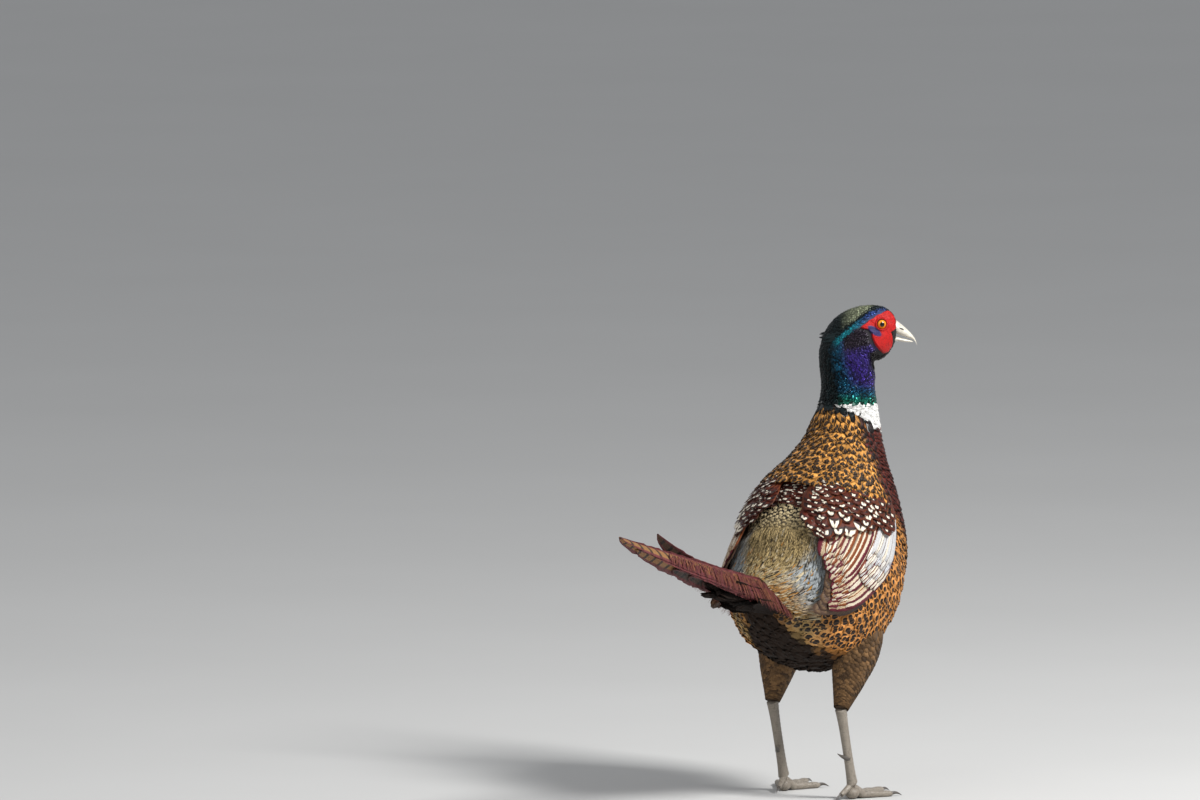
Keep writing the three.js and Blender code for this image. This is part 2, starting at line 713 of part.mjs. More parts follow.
function foot(sign) {
  const at = legPlace(LEG.foot, sign);
  const pad = new THREE.SphereGeometry(1, 10, 6).scale(7.4, 6.4, 5.8).translate(at.x, at.y, 5.2);
  const ankle = new THREE.SphereGeometry(1, 8, 5).scale(5.2, 5, 6).translate(at.x - 1, at.y, 11.5);
  const toes = TOES.map((size) => toe(sign, size));
  const whole = unite([solid(pad), solid(ankle), ...toes, limb(hindToe(sign).toe)]);
  const claws = clawSolids(sign, GAP).map(([, made]) => made);
  return largest(without(floorCut(whole), ...claws, shank(sign, GAP), spur(sign, GAP)));
}

// Each node by name, with its material
const nodes = [];
const add = (name, [color, roughness, metalness], made) =>
  nodes.push({ name, material: new THREE.MeshStandardMaterial({ color, roughness, metalness }), made });

add("torso", COLOUR.copper, torso());
add("rump", COLOUR.slate, rumpCore());
add("neck_ring", COLOUR.white, skinLoft(RING_FROM + 0.004, RING_TO - 0.01, 2, 24));
add("neck", COLOUR.teal, skinLoft(RING_TO + 0.01, NECK_TO - 0.02, 5, 24));
add("head", COLOUR.bronze, head());
add("bill_upper", COLOUR.ivory, upperBill());
add("bill_lower", COLOUR.ivory, lowerBill());
add("tail", COLOUR.buff, tail());

for (const [side, sign] of Object.entries(SIDES)) {
  add(`eye_${side}`, COLOUR.amber, eyeball(sign));
  add(`wattle_${side}`, COLOUR.red, wattle(sign));
  add(`wing_${side}`, COLOUR.chestnut, wing(sign));
  add(`thigh_${side}`, COLOUR.flank, without(thigh(sign), shank(sign, GAP)));
  add(`shank_${side}`, COLOUR.scute, shank(sign));
  add(`spur_${side}`, COLOUR.horn, without(spur(sign), shank(sign, GAP)));
  add(`foot_${side}`, COLOUR.scute, foot(sign));
  for (const [name, made] of clawSolids(sign)) add(`claw_${side}_${name}`, COLOUR.horn, made);
}

// The group, moved so that the origin is under the middle of the box
const bird = new THREE.Group();
const box = new THREE.Box3();
for (const { name, material, made } of nodes) {
  const { vertProperties, triVerts } = largest(made).getMesh();
  const geometry = new THREE.BufferGeometry()
    .setAttribute("position", new THREE.BufferAttribute(vertProperties, 3))
    .setIndex(new THREE.BufferAttribute(triVerts, 1));
  geometry.computeVertexNormals();
  const mesh = new THREE.Mesh(geometry, material);
  mesh.name = name;
  bird.add(mesh);
  box.expandByObject(mesh);
}
const middle = box.getCenter(new THREE.Vector3());
bird.position.set(-middle.x, -middle.y, -box.min.z);

export default bird;
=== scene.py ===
"""Looks of a life-size cock ring-necked pheasant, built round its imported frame.

Every size is in millimetres until a mesh is made. The bird faces +X, its right side is -Y.
"""

import logging
import math
from dataclasses import dataclass, field
from enum import Enum
from typing import Callable

import bmesh
import bpy
import numpy as np
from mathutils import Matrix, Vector

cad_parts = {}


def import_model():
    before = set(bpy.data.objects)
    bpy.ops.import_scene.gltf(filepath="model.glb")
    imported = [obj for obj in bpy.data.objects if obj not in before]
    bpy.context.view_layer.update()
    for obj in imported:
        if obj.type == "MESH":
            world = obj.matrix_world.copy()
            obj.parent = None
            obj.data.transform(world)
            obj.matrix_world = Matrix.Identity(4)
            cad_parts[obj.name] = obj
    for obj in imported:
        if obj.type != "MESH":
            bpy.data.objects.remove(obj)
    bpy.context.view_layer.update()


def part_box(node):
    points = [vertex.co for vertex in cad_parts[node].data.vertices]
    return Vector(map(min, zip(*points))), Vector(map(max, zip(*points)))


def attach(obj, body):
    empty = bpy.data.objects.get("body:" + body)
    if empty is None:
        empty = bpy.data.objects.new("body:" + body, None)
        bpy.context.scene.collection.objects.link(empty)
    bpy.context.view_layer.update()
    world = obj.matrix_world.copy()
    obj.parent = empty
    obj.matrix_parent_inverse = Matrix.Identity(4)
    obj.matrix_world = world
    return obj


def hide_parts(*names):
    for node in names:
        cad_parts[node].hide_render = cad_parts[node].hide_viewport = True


LOG = logging.getLogger("pheasant")
Array = np.ndarray
Colour = tuple[float, float, float]
Field = Callable[[Array, Array], Array]

MM = 0.001
POLE_GAP = 1e-7
TINY = 1e-6
TANGENT_STEP = 0.02
FULL_TURN = 2 * math.pi
NECK_X = 62.0
EYE_HEIGHT = 431.0
EYE_FORWARD = 30.0
EYE_SIDE = 11.7
EYE_RADIUS = 5.8
HEAD_TURN = math.radians(-60)
TWIST_FROM = 318.0
TWIST_TO = 405.0
COAT_DEPTH = 2.2
FLOOR_GAP = 0.05
RING_TOP = 9.2
RIGHT, LEFT = 1, -1
UP = np.array([0, 0, 1.0])
SIDE = np.array([0, 1.0, 0])
LEVEL = np.array([1, 1, 0])
# Two steps that spread points evenly over a square, one after the other
SPREAD = (0.7548776662466927, 0.5698402909980532)

# Stations of the trunk, head and folded wings: back [x, z], belly [x, z] and half width
TRUNK = [
    (-122, 212, -124, 188, 14),
    (-104, 220, -100, 160, 33),
    (-87, 233, -50, 127, 54),
    (-71, 254, 6, 115, 69),
    (-52, 278, 60, 137, 75),
    (-26, 299, 90, 184, 69),
    (2, 318, 99, 240, 53),
    (21, 334, 95, 293, 38),
    (33, 350, 91, 336, 30),
    (37, 361, 88.5, 360, 26.5),
    (38, 376, 87, 372, 25),
]
HEAD = [
    (-56, -33, -4.5, -46, 24.5),
    (-54.5, -19, -5.5, -38, 24.5),
    (-50, -6.5, -5, -35.5, 23.5),
    (-42, 4, -3.5, -35, 22.5),
    (-31, 11.5, -1, -34.5, 21),
    (-19, 15.6, 1.5, -33.5, 19.5),
    (-7, 16.6, 4.5, -31.5, 17.2),
    (3, 15, 8, -28, 14.2),
    (10, 10.5, 11, -23.5, 11),
    (14, 5, 13.3, -19.5, 8.2),
    (15.4, 1.8, 14.4, -17.5, 6.8),
]
WRAP = [
    (-150, 208, -132, 150, 46),
    (-124, 218, -92, 136, 56),
    (-97, 237, -46, 114, 67),
    (-79, 260, 6, 106, 75.5),
    (-57, 284, 63, 130, 80),
    (-29, 304, 93, 182, 73),
    (0, 321, 101, 240, 57),
    (20, 336, 96, 293, 40),
]


def smooth(value: Array, low: float, high: float) -> Array:
    """A smooth step from 0 at low to 1 at high.

    Args:
        value: Numbers to test.
        low: Where the step starts.
        high: Where it ends; it may be below low, which turns the step round.

    Returns:
        Numbers from 0 to 1.
    """
    t = np.clip((np.asarray(value, float) - low) / (high - low), 0, 1)
    return t * t * (3 - 2 * t)


def blend(first: Array, second: Array, share: Array) -> Array:
    """Mixes two colours or vectors by a share for each row."""
    return first + (np.asarray(second, float) - first) * np.asarray(share)[..., None]


def opaque(colours: Array) -> Array:
    """Colours with an alpha of 1."""
    return np.concatenate([colours, np.ones((*colours.shape[:-1], 1))], -1)


def grid(*parts: Array) -> Array:
    """Stacks coordinates of any shapes that fit together into points or map places."""
    return np.stack(np.broadcast_arrays(*parts), -1)


def inset(share: Array) -> Array:
    """A share of a baking map, kept off its edges."""
    return 0.02 + 0.96 * share


def disc(radius: Array, angle: Array) -> Array:
    """Places of a round baking map."""
    return grid(0.5 + radius * np.cos(angle), 0.5 + radius * np.sin(angle))


def circle(columns: int) -> Array:
    """Angles round a ring, as one row."""
    return np.linspace(0, FULL_TURN, columns, endpoint=False)[None, :]


def degrees(v: Array) -> Array:
    """Angles from the back, without their side, in degrees."""
    return np.degrees(np.abs(v))


def unit(vectors: Array) -> Array:
    """Vectors scaled to length 1."""
    return vectors / np.maximum(np.linalg.norm(vectors, axis=-1, keepdims=True), 1e-9)


def catmull(points: Array, u: Array) -> Array:
    """A uniform Catmull-Rom curve through points, its end points doubled.

    Args:
        points: One row for each station.
        u: Places along it, in stations.

    Returns:
        The curve's points, one row for each u.
    """
    last = len(points) - 1
    u = np.clip(np.asarray(u, float), 0, last)
    i = np.floor(u).astype(int)
    t = (u - i)[..., None]
    p0, p1 = points[np.maximum(i - 1, 0)], points[i]
    p2, p3 = points[np.minimum(i + 1, last)], points[np.minimum(i + 2, last)]
    out, back = (p2 - p0) / 2, (p3 - p1) / 2
    cubic = 2 * p1 - 2 * p2 + out + back
    return cubic * t**3 + (3 * p2 - 3 * p1 - 2 * out - back) * t**2 + out * t + p1


def head_point(forward: Array, left: Array, up: Array) -> Array:
    """Places given from the middle of the eyes, in the bird's coordinates."""
    forward, left, up = np.broadcast_arrays(*(np.asarray(a, float) for a in (forward, left, up)))
    forward = forward + EYE_FORWARD
    x = NECK_X + forward * math.cos(HEAD_TURN) - left * math.sin(HEAD_TURN)
    y = forward * math.sin(HEAD_TURN) + left * math.cos(HEAD_TURN)
    return np.stack([x, y, EYE_HEIGHT + up], -1)


def head_direction(forward: float, left: float, up: float) -> Array:
    """A direction given in the head's own axes, in the bird's coordinates."""
    return head_point(forward, left, up) - head_point(0, 0, 0)


def surface_steps(wanted: Array, along: Array, round_: Array) -> Array:
    """The steps of u and v that move a point by a vector, from the surface's two tangents.

    Args:
        wanted: Vectors in the surface.
        along: Its tangents for one station.
        round_: Its tangents for one radian.

    Returns:
        Rows of [du, dv].
    """
    a, b, d = (along * along).sum(-1), (along * round_).sum(-1), (round_ * round_).sum(-1)
    p, q = (wanted * along).sum(-1), (wanted * round_).sum(-1)
    det = np.maximum(a * d - b * b, TINY)
    return np.stack([(d * p - b * q) / det, (a * q - b * p) / det], -1)


class Surface:
    """A body surface of stations u and angles v: v is 0 on the back, a quarter turn on the right.

    Each station is an ellipse across a line from back to belly, turned about the neck's axis.
    """

    def __init__(self, stations: list[tuple]) -> None:
        """Keeps the stations as curves.

        Args:
            stations: Rows of back x, back z, belly x, belly z and half width.
        """
        self.table = np.array(stations, float)
        self.last = len(stations) - 1

    def at(self, u: Array, v: Array) -> Array:
        """Points of the surface, in millimetres, one for each station and angle."""
        u, v = np.broadcast_arrays(np.asarray(u, float), np.asarray(v, float))
        row = catmull(self.table, u)
        back, belly, half = row[..., 0:2], row[..., 2:4], row[..., 4]
        middle = (back + belly) / 2
        arm = back - middle
        reach = np.linalg.norm(arm, axis=-1)
        flat = middle + unit(arm) * (reach * np.cos(v))[..., None]
        across = -half * np.sin(v)
        yaw = HEAD_TURN * smooth(middle[..., 1], TWIST_FROM, TWIST_TO)
        forward = flat[..., 0] - NECK_X
        x = NECK_X + forward * np.cos(yaw) - across * np.sin(yaw)
        y = forward * np.sin(yaw) + across * np.cos(yaw)
        return np.stack([x, y, flat[..., 1]], -1)

    def slopes(self, u: Array, v: Array) -> tuple[Array, Array, Array]:
        """The surface's two tangents, for one station and one radian, and its outward normal."""
        step = TANGENT_STEP
        u = np.clip(np.asarray(u, float), step, self.last - step)
        along = (self.at(u + step, v) - self.at(u - step, v)) / (2 * step)
        round_ = (self.at(u, v + step) - self.at(u, v - step)) / (2 * step)
        return along, round_, unit(np.cross(round_, along))

    def lifted(self, u: Array, v: Array, lift: Array) -> Array:
        """Points moved off the surface along its normal."""
        return self.at(u, v) + self.slopes(u, v)[2] * np.asarray(lift)[..., None]

    def steps(self, u: Array, v: Array, turn: Array) -> tuple[Array, Array]:
        """What one millimetre along and across a feather is in u and v.

        Args:
            u: Stations of the roots.
            v: Angles of the roots.
            turn: The feather's angle from the body's flow towards the belly, in radians.

        Returns:
            Two arrays of [du, dv], along the feather and across it.
        """
        along, round_, _ = self.slopes(u, v)
        back = -unit(along)
        aside = unit(round_ - back * (round_ * back).sum(-1, keepdims=True))
        downward = np.where(np.sin(v) >= 0, 1, -1)[..., None]
        cos, sin = np.cos(turn)[..., None], np.sin(turn)[..., None] * downward
        lengthwise = surface_steps(back * cos + aside * sin, along, round_)
        return lengthwise, surface_steps(aside * cos - back * sin, along, round_)

    def atlas(self, u: Array, v: Array) -> Array:
        """Places on the baking map of the stations and angles."""
        return np.stack([inset(u / self.last), inset(v / FULL_TURN + 0.5)], -1)


def between(first: tuple, second: tuple, share: float) -> tuple:
    """A station between two others."""
    return tuple((1 - share) * a + share * b for a, b in zip(first, second))


EYE_AT = (EYE_FORWARD + NECK_X, EYE_HEIGHT)
SKULL = [(EYE_AT[0] + a, EYE_AT[1] + b, EYE_AT[0] + c, EYE_AT[1] + d, half) for a, b, c, d, half in HEAD]
SLOPE = between(TRUNK[6], WRAP[6], 0.35)
FRONT = between(TRUNK[5], WRAP[5], 0.4)
BODY = Surface(TRUNK + SKULL)
OUTER = Surface(WRAP)
MANTLE = Surface(WRAP[:6] + [SLOPE] + TRUNK[7:] + SKULL)
CHEST = Surface(TRUNK[:5] + [FRONT, SLOPE] + TRUNK[7:] + SKULL)
SKULL_MIDDLE = len(TRUNK) + 6.0
THROAT = 9


def side_view(u: Array, share: Array) -> Array:
    """Where the body is, seen from its side: between back (share 1) and belly (share -1)."""
    row = catmull(BODY.table, u)
    back, belly = row[..., 0:2], row[..., 2:4]
    return (back + belly) / 2 + (back - belly) / 2 * share[..., None]


def head_uv(forward: Array, up: Array) -> tuple[Array, Array]:
    """Finds where the head's right side lies at a place seen from the side, by Newton steps.

    Args:
        forward: Distances ahead of the eye.
        up: Heights over the eye.

    Returns:
        The stations and angles there.
    """
    rounds, widest = 14, 0.98
    u = np.full(np.shape(forward), SKULL_MIDDLE)
    c = np.zeros(np.shape(forward))
    goal = np.stack([forward + EYE_FORWARD + NECK_X, up + EYE_HEIGHT], -1)
    for _ in range(rounds):
        du = (side_view(u + 0.05, c) - side_view(u - 0.05, c)) / 0.1
        dc = side_view(u, c + 0.5) - side_view(u, c - 0.5)
        det = du[..., 0] * dc[..., 1] - du[..., 1] * dc[..., 0]
        det = np.where(np.abs(det) < 1e-3, 1e-3, det)
        miss = goal - side_view(u, c)
        u = np.clip(u + (miss[..., 0] * dc[..., 1] - miss[..., 1] * dc[..., 0]) / det, THROAT, BODY.last)
        c = np.clip(c + (du[..., 0] * miss[..., 1] - du[..., 1] * miss[..., 0]) / det, -widest, widest)
    return u, np.arccos(c)


def head_place(u: Array, v: Array) -> tuple[Array, Array]:
    """How far ahead of the eyes and over them places of the body are."""
    place = BODY.at(u, v) - head_point(0, 0, 0)
    return place[..., 0] * math.cos(HEAD_TURN) + place[..., 1] * math.sin(HEAD_TURN), place[..., 2]


@dataclass
class MeshData:
    """A mesh as whole arrays, in millimetres, with maps and attributes for each vertex.

    Poles says that points which lie on each other, at a pole, are to be made one.
    """

    points: Array
    faces: Array
    maps: dict[str, Array] = field(default_factory=dict)
    values: dict[str, Array] = field(default_factory=dict)
    poles: bool = True

    def __post_init__(self) -> None:
        """Lays points and maps out as one row for each vertex."""
        self.points = self.points.reshape(-1, 3)
        self.maps = {name: places.reshape(-1, 2) for name, places in self.maps.items()}

    def grounded(self) -> "MeshData":
        """Keeps the mesh off the floor by a hair, and returns it."""
        self.points[:, 2] = np.maximum(self.points[:, 2], FLOOR_GAP)
        return self

    def mesh(self, name: str) -> bpy.types.Mesh:
        """Makes the mesh, smooth shaded, with its maps and attributes."""
        made = bpy.data.meshes.new(name)
        points = (self.points + Placement.shift) * MM
        count, sides = self.faces.shape
        made.vertices.add(len(points))
        made.vertices.foreach_set("co", points.astype(np.float32).ravel())
        made.loops.add(self.faces.size)
        made.loops.foreach_set("vertex_index", self.faces.astype(np.int32).ravel())
        made.polygons.add(count)
        made.polygons.foreach_set("loop_start", np.arange(count, dtype=np.int32) * sides)
        made.polygons.foreach_set("loop_total", np.full(count, sides, dtype=np.int32))
        made.update(calc_edges=True)
        made.validate()
        corners = np.zeros(len(made.loops), dtype=np.int32)
        made.loops.foreach_get("vertex_index", corners)
        for label, places in self.maps.items():
            layer = made.uv_layers.new(name=label)
            layer.uv.foreach_set("vector", places[corners].astype(np.float32).ravel())
        for label, numbers in self.values.items():
            kind, part = ("FLOAT", "value") if numbers.ndim == 1 else ("FLOAT_COLOR", "color")
            layer = made.attributes.new(label, kind, "POINT")
            layer.data.foreach_set(part, numbers.astype(np.float32).ravel())
        if self.poles:
            merged = bmesh.new()
            merged.from_mesh(made)
            bmesh.ops.remove_doubles(merged, verts=merged.verts[:], dist=POLE_GAP)
            merged.to_mesh(made)
            merged.free()
        made.polygons.foreach_set("use_smooth", np.ones(len(made.polygons), dtype=bool))
        return made

    def build(
        self, name: str, material: bpy.types.Material, replaces: tuple[str, ...] = (), slot: str = ""
    ) -> bpy.types.Object:
        """Makes the object, riding on the bird, and reports it.

        Args:
            name: The piece's name.
            material: Its finish.
            replaces: Nodes of the frame that it stands for.
            slot: A material slot's name; not used.

        Returns:
            The new object.
        """
        piece = bpy.data.objects.new(name, self.mesh(name))
        piece.data.materials.append(material)
        bpy.context.collection.objects.link(piece)
        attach(piece, "root")
        if replaces:
            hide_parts(*replaces)
        LOG.info("%s has %d faces", name, len(piece.data.polygons))
        return piece


class Placement:
    """Where the bird's own origin is in the frame, in millimetres."""

    shift: Array = np.zeros(3)

    @classmethod
    def find(cls) -> None:
        """Reads the shift from the right eye's place in the frame."""
        low, high = (np.array(corner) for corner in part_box("eye_right"))
        cls.shift = (low + high) / 2 / MM - head_point(0, -EYE_SIDE, 0)


def sheet_faces(rows: int, columns: int, closed: bool) -> Array:
    """Quads of a grid, joined round its columns if it is closed."""
    i, j = np.meshgrid(np.arange(rows - 1), np.arange(columns if closed else columns - 1), indexing="ij")
    k = (j + 1) % columns
    below, above = i * columns, (i + 1) * columns
    return np.stack([below + j, above + j, above + k, below + k], -1).reshape(-1, 4)


def capped(rings: Array) -> Array:
    """Rings with a ring drawn in to one point before the first and after the last."""
    ends = [np.repeat(ring.mean(1, keepdims=True), rings.shape[1], 1) for ring in (rings[:1], rings[-1:])]
    return np.concatenate([ends[0], rings, ends[1]])


def tube(rings: Array) -> MeshData:
    """A closed tube of rings, with a baking map of length against girth."""
    rings = capped(rings)
    ring = rings[len(rings) // 2]
    ahead = rings[-1].mean(0) - rings[0].mean(0)
    columns = rings.shape[1]
    faces = sheet_faces(len(rings), columns, True)
    girth = np.linspace(0, 0.96, columns) + 0.02
    length = np.linspace(0.02, 0.98, len(rings))[:, None]
    spin = np.cross(ring[0] - ring.mean(0), ring[1] - ring.mean(0)) @ ahead
    return MeshData(rings, faces if spin < 0 else faces[:, ::-1], {"OFBake": grid(girth, length)})


def limb(
    places: Array, wide: Array, deep: Array, side: Array, columns: int = 16, swell: Array | float = 1
) -> MeshData:
    """A tapered limb: ellipses across a path.

    Args:
        places: Points of the path.
        wide: Half widths.
        deep: Half depths.
        side: The direction of the widths.
        columns: Points round it.
        swell: Factors for each ring and column.

    Returns:
        The closed mesh.
    """
    along = unit(np.gradient(places, axis=0))
    across = unit(side - along * (along @ np.asarray(side, float))[:, None])
    up = np.cross(along, across)
    angle = circle(columns)[..., None]
    reach = np.broadcast_to(np.asarray(swell, float), (len(places), columns))[..., None]
    cos, sin = np.cos(angle) * across[:, None], np.sin(angle) * up[:, None]
    spokes = cos * np.asarray(wide)[:, None, None] + sin * np.asarray(deep)[:, None, None]
    return tube(places[:, None] + spokes * reach)


def joined(parts: list[MeshData]) -> MeshData:
    """Puts several meshes with the same maps and attributes into one."""
    start = np.cumsum([0] + [len(part.points) for part in parts[:-1]])
    return MeshData(
        np.concatenate([part.points for part in parts]),
        np.concatenate([part.faces + first for part, first in zip(parts, start)]),
        {name: np.concatenate([part.maps[name] for part in parts]) for name in parts[0].maps},
        {name: np.concatenate([part.values[name] for part in parts]) for name in parts[0].values},
        all(part.poles for part in parts),
    )


class Signal:
    """The output of a shader node, reckoned with like a number."""

    def __init__(self, graph: "Graph", socket: bpy.types.NodeSocket) -> None:
        """Keeps the output.

        Args:
            graph: The material's nodes.
            socket: The output.
        """
        self.graph = graph
        self.socket = socket

    def __add__(self, other: object) -> "Signal":
        """The sum."""
        return self.graph.math("ADD", self, other)

    def __sub__(self, other: object) -> "Signal":
        """The difference."""
        return self.graph.math("SUBTRACT", self, other)

    def __mul__(self, other: object) -> "Signal":
        """The product."""
        return self.graph.math("MULTIPLY", self, other)

    def __truediv__(self, other: object) -> "Signal":
        """The quotient."""
        return self.graph.math("DIVIDE", self, other)

    def most(self, other: object) -> "Signal":
        """The greater of the two."""
        return self.graph.math("MAXIMUM", self, other)

    def sine(self) -> "Signal":
        """The sine."""
        return self.graph.math("SINE", self)

    def size(self) -> "Signal":
        """The value without its sign."""
        return self.graph.math("ABSOLUTE", self)

    def scaled(self, factor: object) -> "Signal":
        """A colour made brighter or darker."""
        return self.graph.node("ShaderNodeVectorMath", {0: self, 3: factor}, operation="SCALE")

    def step(self, low: float, high: float, start: float = 0.0, end: float = 1.0) -> "Signal":
        """A smooth step from start to end, while the value runs from low to high."""
        inputs = {0: self, 1: low, 2: high, 3: start, 4: end}
        return self.graph.node("ShaderNodeMapRange", inputs, interpolation_type="SMOOTHSTEP")


class Graph:
    """Shader nodes of one material, made by short calls."""

    def __init__(self, name: str) -> None:
        """Makes the material.

        Args:
            name: Its name.
        """
        self.material = bpy.data.materials.new(name)
        self.material.use_nodes = True
        self.tree = self.material.node_tree
        self.surface = self.tree.nodes["Principled BSDF"]

    def node(
        self, kind: str, inputs: dict | None = None, output: int | str = 0, **settings: object
    ) -> Signal:
        """Adds a node with its settings and inputs.

        Args:
            kind: The node's type.
            inputs: Numbers, colours or signals by the name or index of the input.
            output: The output wanted.
            **settings: The node's own settings.

        Returns:
            The output.
        """
        made = self.tree.nodes.new(kind)
        for key, value in settings.items():
            setattr(made, key, value)
        for key, value in (inputs or {}).items():
            self.feed(made.inputs[key], value)
        return Signal(self, made.outputs[output])

    def feed(self, socket: bpy.types.NodeSocket, value: object) -> None:
        """Links an input, or sets its number or colour."""
        if isinstance(value, Signal):
            self.tree.links.new(value.socket, socket)
        elif isinstance(value, tuple) and len(value) == 3 and socket.type == "RGBA":
            socket.default_value = (*value, 1)
        else:
            socket.default_value = value

    def math(self, kind: str, a: object, b: object = 0.0) -> Signal:
        """One step of arithmetic."""
        return self.node("ShaderNodeMath", {0: a, 1: b}, operation=kind)

    def mix(self, share: object, a: object, b: object) -> Signal:
        """Mixes two colours."""
        return self.node("ShaderNodeMix", {0: share, 6: a, 7: b}, 2, data_type="RGBA")

    def noise(self, scale: float, detail: float = 3.0, stretch: tuple | None = None) -> Signal:
        """Noise in the object's own coordinates, stretched along its axes if asked."""
        vector = self.node("ShaderNodeTexCoord", output="Object")
        if stretch:
            vector = self.node("ShaderNodeMapping", {"Vector": vector, "Scale": stretch})
        return self.node("ShaderNodeTexNoise", {"Vector": vector, "Scale": scale, "Detail": detail})

    def cells(self, scale: float) -> Signal:
        """The distance to the nearest edge of cells in the object's own coordinates."""
        vector = self.node("ShaderNodeTexCoord", output="Object")
        inputs = {"Vector": vector, "Scale": scale}
        return self.node("ShaderNodeTexVoronoi", inputs, feature="DISTANCE_TO_EDGE")

    def value(self, name: str, output: str = "Fac") -> Signal:
        """A number or colour kept in the mesh."""
        return self.node("ShaderNodeAttribute", output=output, attribute_name=name)

    def map(self, name: str) -> tuple[Signal, Signal]:
        """The two coordinates of a map."""
        place = self.node("ShaderNodeUVMap", uv_map=name)
        across, along = (self.node("ShaderNodeSeparateXYZ", {0: place}, axis) for axis in (0, 1))
        return across, along

    def bump(self, height: Signal, distance: float, strength: float = 1.0) -> None:
        """Gives the surface relief, deepest by the distance in millimetres."""
        inputs = {"Height": height, "Distance": distance * MM, "Strength": strength}
        self.feed(self.surface.inputs["Normal"], self.node("ShaderNodeBump", inputs))

    def finish(self, colour: object, rough: object, **others: object) -> bpy.types.Material:
        """Sets the surface's colour, roughness and further inputs, and returns the material."""
        self.feed(self.surface.inputs["Base Color"], colour)
        self.feed(self.surface.inputs["Roughness"], rough)
        for key, value in others.items():
            self.feed(self.surface.inputs[key.replace("_", " ")], value)
        return self.material


BLACK: Colour = (0.008, 0.006, 0.006)
CREAM: Colour = (0.80, 0.72, 0.58)
MAROON: Colour = (0.075, 0.012, 0.005)
CHESTNUT: Colour = (0.11, 0.02, 0.006)
BUFF: Colour = (0.43, 0.27, 0.12)
RUFOUS: Colour = (0.17, 0.045, 0.012)
RUST: Colour = (0.20, 0.055, 0.012)
PLUM: Colour = (0.02, 0.014, 0.02)
WINE: Colour = (0.13, 0.026, 0.028)
DARK_WINE: Colour = (0.03, 0.008, 0.008)


class Mark(Enum):
    """How a feather is marked; each value names the method of Vane that lays it."""

    PLAIN = "plain"
    WEDGE = "wedge"
    SCALE = "scale"
    SPOT = "spot"
    BARS = "bars"
    CRESCENT = "crescent"
    STREAK = "streak"
    TAIL = "tail"
    FLIGHT = "flight"


@dataclass(frozen=True)
class Vane:
    """One feather's surface, and the ways to mark it.

    Base is the feather's own colour and ink the marking's. S runs from 0 at the root to 1 at the tip, a
    little ragged, and x from 0 at the shaft to 1 at the edge. Tone is a random number for each feather,
    grain fine noise, and beats how many radians of barring the feather is long.
    """

    g: Graph
    base: Signal
    s: Signal
    x: Signal
    tone: Signal
    grain: Signal
    ink: Colour
    beats: float

    def marked(self, mark: Mark) -> Signal:
        """The colour with a marking."""
        return getattr(self, mark.value)()

    def plain(self) -> Signal:
        """No marking."""
        return self.base

    def wedge(self) -> Signal:
        """A dark wedge at the tip, and dark edges where the contrast is high."""
        tip = (self.s - self.x * 0.5).step(0.72, 0.77)
        edge = self.x.step(0.55, 0.8) * self.g.value("contrast")
        return self.g.mix(tip.most(edge), self.base, self.ink)

    def spot(self) -> Signal:
        """A dark oval near the tip."""
        far, wide = (self.s - 0.83) / 0.13, self.x / 0.5
        return self.g.mix((far * far + wide * wide).step(1.1, 0.8), self.base, self.ink)

    def scale(self) -> Signal:
        """A dark rim."""
        rim = self.x.step(0.78, 0.95).most(self.s.step(0.9, 0.96))
        return self.g.mix(rim * 0.85, self.base, self.ink)

    def bars(self) -> Signal:
        """Dark bars that bend back towards the edges."""
        bars = (self.s * self.beats - self.x * self.x * 5.0).sine().step(-0.25, 0.25)
        return self.g.mix(bars * self.g.value("contrast"), self.base, self.ink)

    def crescent(self) -> Signal:
        """A cream crescent, notched when large, in a dark surround on a rufous-edged feather."""
        size = self.g.value("contrast") * self.tone.step(0.1, 0.8, 0.45, 1.1)
        reach = (self.s + self.x * self.x * 0.12 - self.tone * 0.03 - 0.8) / size
        band = reach.step(0.0, 0.03) * reach.step(0.17, 0.13)
        notch = self.x.step(0.2, 0.1) * reach.step(0.09, 0.05) * size.step(0.75, 0.95)
        pale = (band - band * notch) * (self.x / size).step(0.5, 0.4)
        dark = reach.step(-0.06, -0.02) * reach.step(0.24, 0.2) * self.x.step(0.85, 0.7)
        rufous = self.g.mix(self.x.step(0.65, 0.95) * 0.55, self.base, RUFOUS)
        return self.g.mix(pale, self.g.mix(dark * 0.85, rufous, self.ink), CREAM)

    def streak(self) -> Signal:
        """A pale middle between dark or rusty edges, with a dark core in some."""
        pale = (self.grain - 0.5) * 0.5 + self.g.value("contrast")
        rust = self.g.mix(self.tone.step(0.55, 0.8), self.ink, RUST)
        edged = self.g.mix((self.x - pale).step(-0.08, 0.06), self.base, rust)
        core = self.x.step(0.2, 0.08) * self.tone.step(0.5, 0.7)
        return self.g.mix(core * 0.75, edged, PLUM)

    def flight(self) -> Signal:
        """Faint buff bars."""
        bars = (self.s * 60.0 + self.x * 3.0).sine().step(0.1, 0.6)
        return self.g.mix(bars * self.x.step(0.95, 0.5) * 0.16, self.base, BUFF)

    def tail(self) -> Signal:
        """Dark bars at even distances from the tail's root, between wine-red fringes."""
        beat = self.g.value("reach") * 0.27 + self.x * self.x * -1.2 + self.grain * 0.8
        bars = beat.sine().step(0.45, 0.75)
        fringe = (self.x + self.grain * 0.3).step(0.55, 0.85)
        barred = self.g.mix(bars * 0.9, self.base, self.ink)
        return self.g.mix(fringe, barred, self.g.mix(bars * 0.4, WINE, DARK_WINE))


